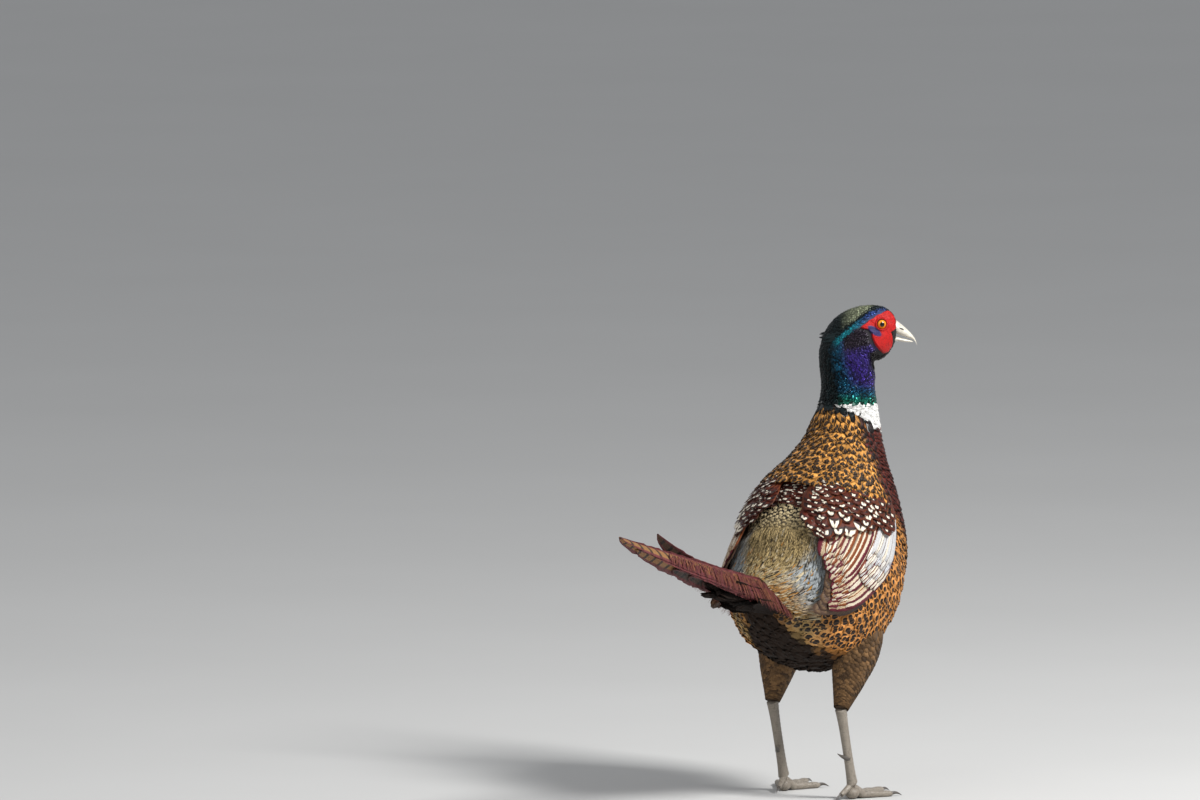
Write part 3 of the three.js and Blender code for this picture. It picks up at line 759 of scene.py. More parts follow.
@dataclass(frozen=True)
class FeatherFinish:
    """The finish of one kind of feather: its own colour, its marking and its gloss."""

    name: str
    mark: Mark = Mark.PLAIN
    rough: float = 0.55
    metal: float = 0.0
    sheen: float = 0.02
    barbs: float = 90.0
    ink: Colour = BLACK
    gloss: float = 0.2
    vary: float = 0.15
    beats: float = 34.0

    def material(self) -> bpy.types.Material:
        """Builds the material from the vane map and the feather's own base colour."""
        g = Graph(self.name)
        across, along = g.map("Vane")
        x = (across * 2.0 - 1.0).size()
        tone = g.value("tone")
        grain = g.noise(900.0, 4.0)
        shade = grain.step(0.2, 0.8, 0.85, 1.15) * tone.step(0.0, 1.0, 1 - self.vary, 1 + self.vary)
        base = g.value("base", "Color").scaled(shade)
        ragged = along + (grain - 0.5) * 0.06
        colour = Vane(g, base, ragged, x, tone, grain, self.ink, self.beats).marked(self.mark)
        barbs = (along * self.barbs + x * (-self.barbs * 0.28) + grain * 3.0).sine()
        shaft = x.step(0.1, 0.02)
        colour = g.mix(shaft * 0.35, colour.scaled(barbs.step(-1.0, 1.0, 0.82, 1.1)), base.scaled(0.45))
        g.bump(barbs * 0.5 + shaft, 0.12, 0.6)
        return g.finish(
            colour,
            grain.step(0.2, 0.8, self.rough - 0.08, self.rough + 0.1),
            Metallic=self.metal,
            Sheen_Weight=self.sheen,
            Specular_IOR_Level=self.gloss,
        )


@dataclass(frozen=True)
class MottledFinish:
    """Two tones mixed by noise."""

    name: str
    dark: Colour
    light: Colour
    grain: float
    rough: float

    def material(self) -> bpy.types.Material:
        """Builds the material."""
        g = Graph(self.name)
        return g.finish(g.mix(g.noise(self.grain), self.dark, self.light), self.rough)


@dataclass(frozen=True)
class SkinFinish:
    """The skin under the coat: the coat's colours, darker and downy."""

    shade: tuple[float, float] = (0.6, 1.3)

    def material(self) -> bpy.types.Material:
        """Builds the material from the colours kept in the mesh."""
        g = Graph("skin")
        down = g.noise(500.0, 5.0)
        g.bump(down, 0.4)
        return g.finish(g.value("base", "Color").scaled(down.step(0.2, 0.8, *self.shade)), 0.75)


@dataclass(frozen=True)
class WattleFinish:
    """Pitted red skin with a patch of small blue feathers."""

    red: tuple[Colour, Colour] = ((0.50, 0.002, 0.002), (0.68, 0.010, 0.006))
    pit: Colour = (0.12, 0.001, 0.002)
    blue: tuple[Colour, Colour] = ((0.012, 0.010, 0.05), (0.06, 0.05, 0.2))

    def material(self) -> bpy.types.Material:
        """Builds the material from the patch kept in the mesh."""
        g = Graph("wattle_red")
        pits = g.cells(1150.0).step(0.0, 0.12)
        g.bump(pits, 0.35, 0.9)
        red = g.mix(pits, self.pit, g.mix(g.noise(220.0), *self.red))
        blue = g.mix(g.noise(700.0), *self.blue)
        return g.finish(g.mix(g.value("patch"), red, blue), 0.5, Specular_IOR_Level=0.35)


@dataclass(frozen=True)
class EyeFinish:
    """An amber iris, darker at the pupil, a black pupil and a dark rim."""

    amber: tuple[Colour, Colour] = ((0.52, 0.17, 0.008), (0.72, 0.30, 0.02))
    inner: Colour = (0.20, 0.06, 0.008)
    rim: Colour = (0.02, 0.01, 0.008)
    pupil: Colour = (0.002, 0.002, 0.002)

    def material(self) -> bpy.types.Material:
        """Builds the material from the distance to the pupil's middle."""
        g = Graph("eye")
        depth, _ = g.map("Look")
        iris = g.mix(depth.step(0.15, 0.11), g.mix(g.noise(1500.0, 4.0), *self.amber), self.inner)
        rim = g.mix(depth.step(0.235, 0.26), iris, self.rim)
        return g.finish(g.mix(depth.step(0.115, 0.105), rim, self.pupil), 0.12, Specular_IOR_Level=0.4)


@dataclass(frozen=True)
class HornFinish:
    """Ivory horn with a fine lengthwise grain under a thin gloss."""

    tones: tuple[Colour, Colour] = ((0.66, 0.62, 0.52), (0.42, 0.39, 0.33))

    def material(self) -> bpy.types.Material:
        """Builds the material."""
        g = Graph("bill_horn")
        grain = g.noise(260.0, 5.0, (1, 1, 4))
        g.bump(grain, 0.12, 0.5)
        return g.finish(g.mix(grain.step(0.3, 0.75), *self.tones), 0.32, Coat_Weight=0.25, Coat_Roughness=0.2)


@dataclass(frozen=True)
class ScaleFinish:
    """Grey-brown scaled skin with dark seams."""

    tones: tuple[Colour, Colour] = ((0.20, 0.165, 0.13), (0.34, 0.30, 0.245))
    seam: Colour = (0.11, 0.09, 0.07)

    def material(self) -> bpy.types.Material:
        """Builds the material."""
        g = Graph("leg_scales")
        seams = g.cells(620.0).step(0.0, 0.09)
        g.bump(seams, 0.25, 0.8)
        tint = g.mix(g.noise(140.0, 4.0), *self.tones)
        return g.finish(g.mix(seams, self.seam, tint), seams.step(0, 1, 0.7, 0.42))


@dataclass(frozen=True)
class CoatColour:
    """The base colours of the body, by place."""

    green: Colour = (0.003, 0.095, 0.062)
    teal: Colour = (0.003, 0.055, 0.105)
    violet: Colour = (0.028, 0.014, 0.14)
    # Near-black: partly the dark gloss of head and tufts, partly painted shade on the back of the neck
    nape_dark_and_shade: Colour = (0.002, 0.008, 0.009)
    white: Colour = (0.76, 0.75, 0.72)
    gold: Colour = (0.56, 0.255, 0.055)
    copper: Colour = (0.082, 0.011, 0.005)
    orange: Colour = (0.55, 0.235, 0.06)
    belly: Colour = (0.02, 0.012, 0.008)
    saddle: Colour = (0.64, 0.51, 0.29)
    olive: Colour = (0.36, 0.26, 0.11)
    slate: Colour = (0.31, 0.335, 0.345)
    rust: Colour = (0.36, 0.16, 0.04)
    # Bronze-green, made paler by a painted sheen on the top of the head
    crown_and_sheen: Colour = (0.22, 0.24, 0.15)
    turquoise: Colour = (0.006, 0.17, 0.21)
    brow: Colour = (0.02, 0.045, 0.17)
    cheek: Colour = (0.012, 0.007, 0.014)

    def at(self, u: Array, v: Array) -> Array:
        """The base colour of the skin and of the feathers rooted there.

        Args:
            u: Stations.
            v: Angles in radians.

        Returns:
            Linear colours with an alpha of 1.
        """
        u, v = np.broadcast_arrays(np.asarray(u, float), np.asarray(v, float))
        turn = degrees((v + math.pi) % FULL_TURN - math.pi)
        front = smooth(u, 5.1, 5.7)
        side = np.interp(u, [5.4, 7.9], [70, 54])
        flanks = smooth(turn, 21, 33) * smooth(turn, 98, 78)
        colour = np.broadcast_to(np.array(self.gold), (*u.shape, 3))
        layers = (
            (self.saddle, smooth(u, 4.9, 4.5)),
            (self.olive, smooth(u, 4.0, 3.3)),
            (self.slate, smooth(u, 4.0, 3.2) * flanks * smooth(u, 1.2, 2.2)),
            (self.rust, smooth(u, 2.0, 1.0) * smooth(turn, 20, 44)),
            (self.copper, smooth(turn, side - 6, side + 6) * front),
            (self.orange, smooth(turn, 66, 80) * (1 - front) * smooth(u, 1.6, 2.6)),
            (self.belly, smooth(turn, 128, 146) * smooth(u, 5.4, 4.4)),
            (self.belly, smooth(u, 1.6, 0.6) * smooth(turn, 74, 98)),
            *self.neck(u, turn),
            *self.head(u, *head_place(u, v)),
        )
        for tone, share in layers:
            colour = blend(colour, tone, share)
        return opaque(colour)

    def neck(self, u: Array, turn: Array) -> tuple[tuple[Array, Array], ...]:
        """The layers of the ring and the neck, with painted shade darkening the back of the neck.

        Args:
            u: Stations.
            turn: Angles from the back in degrees.

        Returns:
            Pairs of a colour and its share.
        """
        neck = np.broadcast_to(np.array(self.green), (*u.shape, 3))
        neck = blend(neck, self.teal, smooth(u, 9.5, 10.05))
        neck = blend(neck, self.violet, smooth(u, 9.95, 10.75) * smooth(turn, 60, 105))
        # Painted shade: from these angles in towards the back, the neck blends to near-black
        shade = np.interp(u, [RING_TOP, 10.6], [50, 66])
        neck = blend(neck, self.nape_dark_and_shade, smooth(turn, shade, shade - 26))
        lower = ring_line(turn)
        return (
            (self.nape_dark_and_shade, smooth(u, lower - 0.34, lower - 0.16) * smooth(turn, 112, 70)),
            (self.white, smooth(u, lower - 0.02, lower + 0.02) * smooth(turn, 10, 20)),
            (neck, smooth(u, RING_TOP - 0.02, RING_TOP + 0.04)),
        )

    def head(self, u: Array, fore: Array, up: Array) -> tuple[tuple[Array, Array], ...]:
        """The layers of the head, round a line from the brow down to the ear.

        Args:
            u: Stations.
            fore: Distances ahead of the eyes.
            up: Heights over them.

        Returns:
            Pairs of a colour and its share.
        """
        head = smooth(u, 11.2, 12.2)
        line = 10.5 + np.where(fore < -4, (fore + 4) * 0.6, (fore + 4) * 0.1)
        cheek = smooth(fore, -36, -30) * smooth(up, line - 2, line - 4) * smooth(up, -24, -15)
        band = smooth(np.abs(up - line + 0.5), 3.4, 1.6) * smooth(fore, 12, 4) * smooth(fore, -44, -38)
        chin = smooth(fore, -12, -4) * smooth(up, -20, -26)
        return (
            (self.violet, head * smooth(fore, -36, -26) * smooth(up, line, line - 4)),
            (self.cheek, head * cheek),
            (self.nape_dark_and_shade, head * smooth(up, line + 1, line + 3)),
            # The crown: bronze-green, its pale tone partly painted sheen
            (self.crown_and_sheen, head * smooth(up, line + 4.5, line + 7) * smooth(fore, -36, -20)),
            (blend(np.array(self.turquoise), self.brow, smooth(fore, -26, -8)), head * band),
            (BLACK, head * np.maximum(smooth(fore, 6, 11), chin)),
        )


COAT = CoatColour()


def ring_line(turn: Array) -> Array:
    """The station where the white ring's lower edge is, for angles from the back in degrees."""
    return np.clip(RING_TOP - (turn - 24) / 60, 8.05, RING_TOP)


def outward(faces: Array, corners: Array) -> Array:
    """The faces of many closed shells, turned round where a shell's volume is negative.

    Args:
        faces: One shell's quads, the same for all.
        corners: Each shell's points, from its own middle.

    Returns:
        Each shell's quads.
    """
    first, second, third, fourth = (corners[:, faces[:, k]] for k in range(4))
    volume = (np.cross(first, second) * third + np.cross(first, third) * fourth).sum((1, 2))
    return np.where(volume[:, None, None] < 0, faces[:, ::-1], faces)


def vane_mesh(
    points: Array, normals: Array, x: Array, s: Array, thick: float, bake: Array, extra: dict[str, Array]
) -> MeshData:
    """Closed feathers from the grids of their upper faces.

    Args:
        points: Upper points, as feather, row, column.
        normals: The directions out of them.
        x: Places across, from -1 to 1.
        s: Places along, from 0 to 1.
        thick: Thickness at the shaft.
        bake: The feathers' places on the baking map.
        extra: Numbers, colours or grids of numbers for each feather.

    Returns:
        The mesh, its maps Vane and OFBake, and the extra values.
    """
    count, rows, columns = points.shape[:3]
    depth = thick * (1.15 - np.abs(x))[None, None, :, None] * (1.1 - 0.8 * s)[None, :, None, None]
    both = np.stack([points, points - normals * depth], 1)
    size = rows * columns
    top = sheet_faces(rows, columns, False)
    corner = np.arange(size).reshape(rows, columns)
    rim = np.concatenate([corner[0, :], corner[1:, -1], corner[-1, -2::-1], corner[-2:0:-1, 0]])
    ahead = np.roll(rim, -1)
    sides = np.stack([rim, ahead, ahead + size, rim + size], -1)
    faces = np.concatenate([top, top[:, ::-1] + size, sides])
    faces = outward(faces, both.reshape(count, -1, 3) - points.mean((1, 2))[:, None])
    faces = (faces + (np.arange(count) * size * 2)[:, None, None]).reshape(-1, 4)
    shape = (count, 2, rows, columns)
    across, along = np.broadcast_arrays((x[None, :] + 1) / 2, s[:, None])
    vane = np.broadcast_to(np.stack([across, along], -1), (*shape, 2))
    patch = np.stack([across - 0.5, along - 0.5], -1) * 0.003
    place = bake[:, None, None, None, :] + patch if bake.ndim == 2 else bake[:, None]
    values = {}
    for name, each in extra.items():
        spread = each[:, None] if each.ndim == 3 else each[:, None, None, None]
        colours = each.shape[1:] if each.ndim == 2 else ()
        values[name] = np.broadcast_to(spread, (*shape, *colours)).reshape(-1, *colours)
    return MeshData(both, faces, {"OFBake": np.broadcast_to(place, vane.shape), "Vane": vane}, values, False)


def scattered(
    surface: Surface, u_range: tuple[float, float], v_range: tuple[float, float], count: int, seed: int
) -> tuple[Array, Array]:
    """Evenly spread places on a surface, by a low-discrepancy sequence through its area.

    Args:
        surface: The surface.
        u_range: Its stations.
        v_range: Its angles, in degrees.
        count: How many places.
        seed: Where the sequence starts.

    Returns:
        Stations and angles in radians.
    """
    rows, columns, prime = 90, 120, 7919
    u = np.linspace(*u_range, rows)
    v = np.radians(np.linspace(*v_range, columns))
    along, round_, _ = surface.slopes(*np.meshgrid(u, v, indexing="ij"))
    area = np.linalg.norm(np.cross(along, round_), axis=-1)
    n = np.arange(count) + seed * prime
    first, second = ((n * step) % 1 for step in SPREAD)
    by_u = np.cumsum(area.sum(1)) / area.sum()
    at_u = np.interp(first, np.concatenate([[0], by_u]), np.concatenate([[u[0]], u]))
    row = np.clip(np.searchsorted(u, at_u), 0, len(u) - 1)
    by_v = np.cumsum(area, 1) / area.sum(1, keepdims=True)
    place = (by_v[row] < second[:, None]).sum(1)
    low = np.where(place > 0, by_v[row, np.maximum(place - 1, 0)], 0)
    high = by_v[row, np.minimum(place, len(v) - 1)]
    share = (second - low) / np.maximum(high - low, 1e-9)
    return at_u, v[np.maximum(place - 1, 0)] + (v[1] - v[0]) * np.clip(share, 0, 1)


@dataclass(frozen=True)
class Run:
    """A number that runs between places: stations, or angles from the back in degrees."""

    places: tuple[float, ...]
    sizes: tuple[float, ...]
    by_angle: bool = False

    def __call__(self, u: Array, v: Array) -> Array:
        """The number at each station and angle."""
        return np.interp(degrees(v) if self.by_angle else u, self.places, self.sizes)


def constant(value: float) -> Run:
    """A number that is the same everywhere."""
    return Run((0,), (value,))


def everywhere(u: Array, v: Array) -> Array:
    """All places."""
    return np.ones(u.shape, bool)


@dataclass
class Tract:
    """A field of small feathers over part of the body."""

    name: str
    finish: FeatherFinish
    slot: str
    u_range: tuple[float, float]
    v_range: tuple[float, float]
    count: int
    length: Field
    width: Field
    keep: Field = everywhere
    turn: Field = constant(0)
    lift: tuple[float, float] = (-2.6, 0.3)
    contrast: Field = constant(1)
    loose: float = 0.12
    surface: Surface = BODY
    colour: Colour | None = None
    strands: tuple[Colour, ...] = ()
    mixed: Field = constant(0)
    seed: int = 1

    def mesh(self) -> MeshData:
        """Lays the feathers: each follows the surface from its root, in a straight line of u and v.

        Returns:
            The closed feathers as one mesh.
        """
        rows, columns, thick = 5, 3, 0.28
        u, v = scattered(self.surface, self.u_range, self.v_range, self.count, self.seed)
        v = (v + math.pi) % FULL_TURN - math.pi
        inside = self.keep(u, v)
        u, v = u[inside], v[inside]
        rng = np.random.default_rng(self.seed)
        size = rng.uniform(0.88, 1.12, len(u))
        length, width = self.length(u, v) * size, self.width(u, v) * size
        turn = np.radians(self.turn(u, v)) + rng.normal(0, self.loose, len(u))
        step_along, step_across = self.surface.steps(u, v, turn)
        s, x = np.linspace(0, 1, rows) ** 0.85, np.linspace(-1, 1, columns)
        tip = np.clip((s - 0.45) / 0.55, 0, 1) ** 2.2
        outline = (0.45 + 0.55 * smooth(s, 0, 0.45)) * np.sqrt(1 - 0.86 * tip)
        ahead = (length[:, None] * s)[:, :, None, None] * step_along[:, None, None, :]
        half = (width[:, None] / 2 * outline)[:, :, None, None] * x[None, None, :, None]
        at = np.stack([u, v], -1)[:, None, None, :] + ahead + half * step_across[:, None, None, :]
        tilt = rng.normal(0, 0.1, len(u))[:, None, None] * x[None, None, :]
        stand = rng.uniform(0.8, 1.2, len(u))
        droop = 0.09 * width[:, None, None] * (x**2)[None, None, :] * s[None, :, None]
        rise = (self.lift[1] - self.lift[0]) * stand[:, None, None] * (s**0.9)[None, :, None]
        points = self.surface.lifted(at[..., 0], at[..., 1], self.lift[0] + rise + tilt - droop)
        normals = self.surface.slopes(at[..., 0], at[..., 1])[2]
        base = COAT.at(u, v)
        if self.colour is not None:
            base = np.broadcast_to(np.array([*self.colour, 1.0]), base.shape)
        if self.strands:
            picked = rng.integers(0, len(self.strands), len(u))
            pick = opaque(np.array(self.strands))[picked]
            base = np.where((rng.uniform(0, 1, len(u)) < self.mixed(u, v))[:, None], pick, base)
        extra = {"base": base, "tone": rng.uniform(0, 1, len(u)), "contrast": self.contrast(u, v)}
        return vane_mesh(points, normals, x, s, thick, self.surface.atlas(u, v), extra)

    def build(self) -> None:
        """Builds the tract's piece."""
        self.mesh().build(self.name, self.finish.material(), (), self.slot)


@dataclass
class Tier:
    """A row or block of wing feathers, from root and tip lines on the outer surface.

    The lines are pairs of a station and an angle in degrees. Step is how far the last row lies from the
    first, in both. Width, contrast and lift run from the first to the last row, or from root to tip.
    """

    count: int
    rows: int
    roots: tuple[tuple[float, float], tuple[float, float]]
    tips: tuple[tuple[float, float], tuple[float, float]]
    step: tuple[float, float]
    width: tuple[float, float]
    lift: tuple[float, float]
    colours: tuple[Colour, Colour]
    contrast: tuple[float, float] = (1.0, 1.0)
    point: float = 0.5
    seed: int = 3

    def mesh(self, sign: int) -> MeshData:
        """Lays the tier's rows, each a step behind the last.

        Args:
            sign: 1 for the right wing, -1 for the left.

        Returns:
            The closed feathers as one mesh.
        """
        thick = 0.4
        rng = np.random.default_rng(self.seed + sign + 1)
        row, place = np.meshgrid(np.arange(self.rows), np.arange(self.count), indexing="ij")
        share = (place + 0.5 * (row % 2) + rng.uniform(-0.12, 0.12, place.shape)) / max(self.count - 0.5, 1)
        share, back = share.ravel(), (row / max(self.rows - 1, 1)).ravel() * (self.rows > 1)
        roots, tips, step = (np.array(line, float) for line in (self.roots, self.tips, self.step))
        root = blend(roots[:1], roots[1], share) + step * back[:, None]
        tip = blend(tips[:1], tips[1], share) + step * back[:, None]
        tip[:, 0] += rng.uniform(-0.09, 0.09, len(tip))
        root[:, 1], tip[:, 1] = sign * np.radians(root[:, 1]), sign * np.radians(tip[:, 1])
        s, x = np.linspace(0, 1, 9), np.linspace(-1, 1, 5)
        along = tip - root
        centre = root[:, None] + along[:, None] * s[None, :, None]
        tangent_u, tangent_v, normal = OUTER.slopes(centre[..., 0], centre[..., 1])
        ahead = tangent_u * along[:, None, :1] + tangent_v * along[:, None, 1:]
        aside = unit(np.cross(normal, ahead)) * sign
        width = np.interp(back, [0, 1], self.width) * rng.uniform(0.92, 1.08, len(back))
        end = np.clip((s - self.point) / (1 - self.point), 0, 1) ** 2.4
        half = width[:, None] / 2 * ((0.5 + 0.5 * smooth(s, 0, 0.3)) * (1 - 0.9 * end) ** 0.5)
        across = surface_steps(aside, tangent_u, tangent_v)
        at = centre[:, :, None] + across[:, :, None] * (half[:, :, None] * x)[..., None]
        height = self.lift[0] + (self.lift[1] - self.lift[0]) * s[None, :, None] ** 1.3
        height = height + 0.45 * x[None, None, :] + 0.5 * (1 - x[None, None, :] ** 2)
        height = height + rng.uniform(-0.2, 0.2, (len(back), 1, 1))
        points = OUTER.lifted(at[..., 0], at[..., 1], height)
        normals = OUTER.slopes(at[..., 0], at[..., 1])[2]
        colours = np.array(self.colours, float)
        base = blend(colours[:1], colours[1], rng.uniform(0, 1, len(back)))
        extra = {
            "base": opaque(base),
            "tone": rng.uniform(0, 1, len(back)),
            "contrast": np.interp(back, [0, 1], self.contrast),
        }
        return vane_mesh(points, normals, x, s, thick, OUTER.atlas(root[:, 0], root[:, 1]), extra)


@dataclass
class Wing:
    """A folded wing: scapulars, coverts and flight feathers in tiers."""

    name: str
    sign: int
    silver: Colour = (0.50, 0.51, 0.53)
    pale: Colour = (0.66, 0.59, 0.47)
    sand: Colour = (0.42, 0.30, 0.17)
    brown: Colour = (0.045, 0.026, 0.02)
    dun: Colour = (0.09, 0.05, 0.03)
    edge: Colour = (0.11, 0.013, 0.022)

    def flight(self) -> list[Tier]:
        """The primaries and the secondaries."""
        tones = (self.brown, self.dun)
        return [
            Tier(
                6, 1, ((3.3, 73), (3.3, 82)), ((1.15, 75), (1.85, 84)), (0, 0), (17, 17), (-4.4, -4.0), tones,
            ),
            Tier(
                12, 1, ((3.9, 37), (3.7, 79)), ((2.3, 50), (1.1, 79)), (0, 0), (20, 20), (-3.8, -3.0), tones,
            ),
        ]

    def coverts(self) -> list[Tier]:
        """The greater coverts and the smaller ones ahead of them."""
        return [
            Tier(
                13, 4, ((4.0, 33), (4.1, 80)), ((2.6, 40), (1.5, 80)), (0.6, 1), (14, 11), (-3.2, -0.6),
                (self.pale, self.sand), (0.36, 0.42), 0.6, 5,
            ),
            Tier(
                8, 4, ((4.6, 68), (4.7, 81)), ((3.0, 67), (3.2, 83)), (0.7, -2), (8, 7), (-3.0, 0.2),
                (self.silver, self.pale), (0.5, 0.9), 0.6, 8,
            ),
        ]

    def scapulars(self) -> list[Tier]:
        """The large lower scapulars and the smaller upper ones."""
        tones = (MAROON, CHESTNUT)
        return [
            Tier(
                5, 3, ((4.15, 22), (5.0, 57)), ((3.05, 36), (4.25, 61)), (0.6, -3), (21, 17), (-2.8, 1.4),
                tones, (1.55, 1.3), 0.5, 11,
            ),
            Tier(
                8, 5, ((4.5, 16), (5.1, 69)), ((3.6, 18), (4.45, 73)), (0.68, 0), (18, 13), (-3.2, 2.2),
                tones, (0.95, 0.65), 0.5, 14,
            ),
        ]

    def build(self) -> None:
        """Builds each kind of wing feather as its own piece."""
        barred = FeatherFinish("flight_feather", Mark.FLIGHT, 0.5)
        streaked = FeatherFinish("wing_covert", Mark.STREAK, 0.6, ink=self.edge)
        spotted = FeatherFinish("scapular", Mark.CRESCENT, 0.5, vary=0.25)
        for kind, tiers, finish, replaces in (
            ("flight", self.flight(), barred, (f"wing_{self.name}",)),
            ("coverts", self.coverts(), streaked, ()),
            ("scapulars", self.scapulars(), spotted, ()),
        ):
            mesh = joined([tier.mesh(self.sign) for tier in tiers])
            mesh.build(f"{kind}_{self.name}", finish.material(), replaces, "wing_feathers")


@dataclass
class Tail:
    """The tail: an inverted V of long feathers, with its under coverts and hair-like fringes."""

    root: tuple[float, float, float] = (-96, 0, 208)
    pitch: float = math.radians(11.5)
    yaw: float = math.radians(9)
    slope: float = math.radians(44)
    fan: float = math.radians(1.1)
    lengths: tuple[float, ...] = (428, 366, 306, 250, 204, 166)
    width: float = 28
    layer: float = 1.5
    overlap: float = 0.8
    start: float = 4
    raised: float = 24.0
    golden: Colour = (0.30, 0.145, 0.045)
    # Painted shade: the lower pairs, under the top ones, are darkened towards this
    dark: Colour = (0.05, 0.028, 0.018)
    barbs: tuple[Colour, Colour] = ((0.125, 0.024, 0.028), (0.24, 0.09, 0.035))
    # Black-brown of the real coverts; their long dark mass also stands in for painted shadow under the tail
    covert: Colour = (0.012, 0.007, 0.005)

    def __post_init__(self) -> None:
        """Works out the tail's own directions."""
        flat = math.cos(self.pitch)
        self.along = np.array([-flat * math.cos(self.yaw), -flat * math.sin(self.yaw), math.sin(self.pitch)])
        self.left = unit(SIDE - self.along * self.along[1])
        self.up = np.cross(self.left, self.along)

    def slopes(self, sides: Array) -> tuple[Array, Array]:
        """The directions down the tail's slopes and out of them.

        Args:
            sides: 1 for the right slope, -1 for the left, one for each feather.

        Returns:
            Both directions, one row for each feather.
        """
        cos, sin = math.cos(self.slope), math.sin(self.slope)
        down = -sides[:, None] * cos * self.left - sin * self.up
        return down, -sides[:, None] * sin * self.left + cos * self.up

    def blades(
        self, sides: Array, starts: Array, lengths: Array, widths: Array, under: Array, turns: Array,
        raises: Array, base: Array, blunt: float, seed: int, steps: int = 40,
    ) -> MeshData:
        """Lays blades on the two slopes of the tail.

        Args:
            sides: 1 for the right slope, -1 for the left.
            starts: Distances from the tail's root.
            lengths: Lengths.
            widths: Widths.
            under: Depths of their layers.
            turns: Angles outwards.
            raises: How far each tip lifts off the rest.
            base: Colours.
            blunt: How pointed the tips are: the power of the outline at the end.
            seed: Seed of the small differences.
            steps: Rows along a blade.

        Returns:
            The closed blades as one mesh.
        """
        thick = 0.7
        rng = np.random.default_rng(seed)
        s, x = np.linspace(0, 1, steps), np.linspace(-1, 1, 9)
        down, out = self.slopes(sides)
        outline = (0.6 + 0.4 * smooth(s, 0, 0.2)) * (1 - s**1.3) ** blunt
        half = np.maximum(widths[:, None] / 2 * outline, 0.6)
        ragged = 1 + 0.07 * rng.normal(0, 1, (len(sides), steps, 1)) * np.abs(x) ** 3
        distance = lengths[:, None] * s
        drift = half - self.overlap + distance * np.tan(turns)[:, None]
        centre = np.array(self.root) + (starts[:, None] + distance)[..., None] * self.along
        centre = centre + drift[..., None] * down[:, None] - under[:, None, None] * out[:, None]
        centre = centre + (raises[:, None] * s**2.2)[..., None] * self.up
        curl = 0.5 - 0.10 * half[..., None] * x**2 - 0.05 * half[..., None] * (x > 0) * x**3
        points = centre[:, :, None] + (half[..., None] * x * ragged)[..., None] * down[:, None, None]
        points = points + curl[..., None] * out[:, None, None]
        points = points + (ragged - 1)[..., None] * 4 * self.along * np.abs(x)[None, None, :, None]
        normals = np.broadcast_to(out[:, None, None], points.shape)
        cell = 1 / len(sides)
        across = np.arange(len(sides))[:, None, None] * cell + cell * (0.1 + 0.8 * (x + 1) / 2)
        bake = grid(across, inset(s)[None, :, None])
        reach = np.broadcast_to((starts[:, None] + distance)[:, :, None], (len(sides), steps, len(x)))
        extra = {"base": base, "tone": rng.uniform(0, 1, len(sides)), "reach": reach}
        return vane_mesh(points, normals, x, s, thick, bake, extra)

    def build(self) -> None:
        """Builds the long feathers, their fringes and the coverts under them."""
        pairs = np.tile(np.arange(len(self.lengths)), 2)
        sides = np.repeat([RIGHT, LEFT], len(self.lengths))
        lengths = np.array(self.lengths)[pairs]
        raises = np.where((pairs == 2) & (sides == LEFT), self.raised, 0.0)
        # Painted shade: the pairs below the top one blend to the dark colour
        base = opaque(blend(np.array([self.golden]), self.dark, smooth(pairs, 0.5, 2.4)))
        long = self.blades(
            sides, np.full(len(sides), self.start), lengths - self.start, self.width * (1 - 0.02 * pairs),
            self.layer * pairs, self.fan * pairs, raises, base, 0.5, 5,
        )
        finish = FeatherFinish("tail_feather", Mark.TAIL, 0.55, barbs=420.0)
        long.build("tail_long", finish.material(), ("tail",), "tail_feathers")
        self.fringes()
        self.under_coverts()

    def fringes(self) -> None:
        """Hair-like barbs that droop from the edges of the longest pair, thickest near its base."""
        count, thick = 1500, 0.25
        rng = np.random.default_rng(21)
        side = np.where(rng.uniform(0, 1, count) < 0.5, RIGHT, LEFT)
        far = rng.uniform(0, 1, count) ** 1.5 * 300 + 6
        length = np.interp(far, [0, 60, 180, 300], [24, 20, 13, 8]) * rng.uniform(0.8, 1.2, count)
        inner = rng.uniform(0.25, 1.0, count) * np.interp(far, [0, 300], [20, 12])
        down, out = self.slopes(side)
        s, x = np.linspace(0, 1, 5), np.linspace(-1, 1, 3)
        lean = rng.uniform(0.8, 1.5, count)
        run = (length[:, None] * s)[..., None]
        centre = np.array(self.root) + far[:, None] * self.along + inner[:, None] * down
        centre = centre + rng.uniform(0.9, 2.1, (count, 1)) * out
        fall = np.interp(far, [0, 90, 300], [0.95, 0.75, 0.5])[:, None]
        path = centre[:, None] + run * (fall * down + (1.15 - fall) * lean[:, None] * self.along)[:, None]
        path = path - (length[:, None] * 0.28 * s**2)[..., None] * UP
        half = 0.75 * (1 - s) ** 0.5 + 0.12
        points = path[:, :, None] + (half[None, :, None] * x)[..., None] * self.along
        normals = np.broadcast_to(out[:, None, None], points.shape)
        bake = np.stack([0.05 + 0.9 * far / 310, 0.5 + 0.4 * side * inner / 22], -1)
        tint = blend(np.array(self.barbs[:1]), self.barbs[1], rng.uniform(0, 1, count) ** 3)
        extra = {"base": opaque(tint), "tone": rng.uniform(0, 1, count)}
        hair = vane_mesh(points, normals, x, s, thick, bake, extra)
        finish = FeatherFinish("fringe", rough=0.6, barbs=20)
        hair.build("tail_fringe", finish.material(), (), "tail_feathers")

    def under_coverts(self) -> None:
        """Black-brown coverts under the tail, in six layers of twelve; their long dark mass is partly painted
        shadow.
        """
        layers, place = np.repeat(np.arange(6), 12), np.tile(np.arange(12), 6)
        count = len(layers)
        rng = np.random.default_rng(4)
        sides = np.where(place % 2 == 0, RIGHT, LEFT)
        starts = -14 + 3.0 * layers + rng.uniform(-6, 6, count)
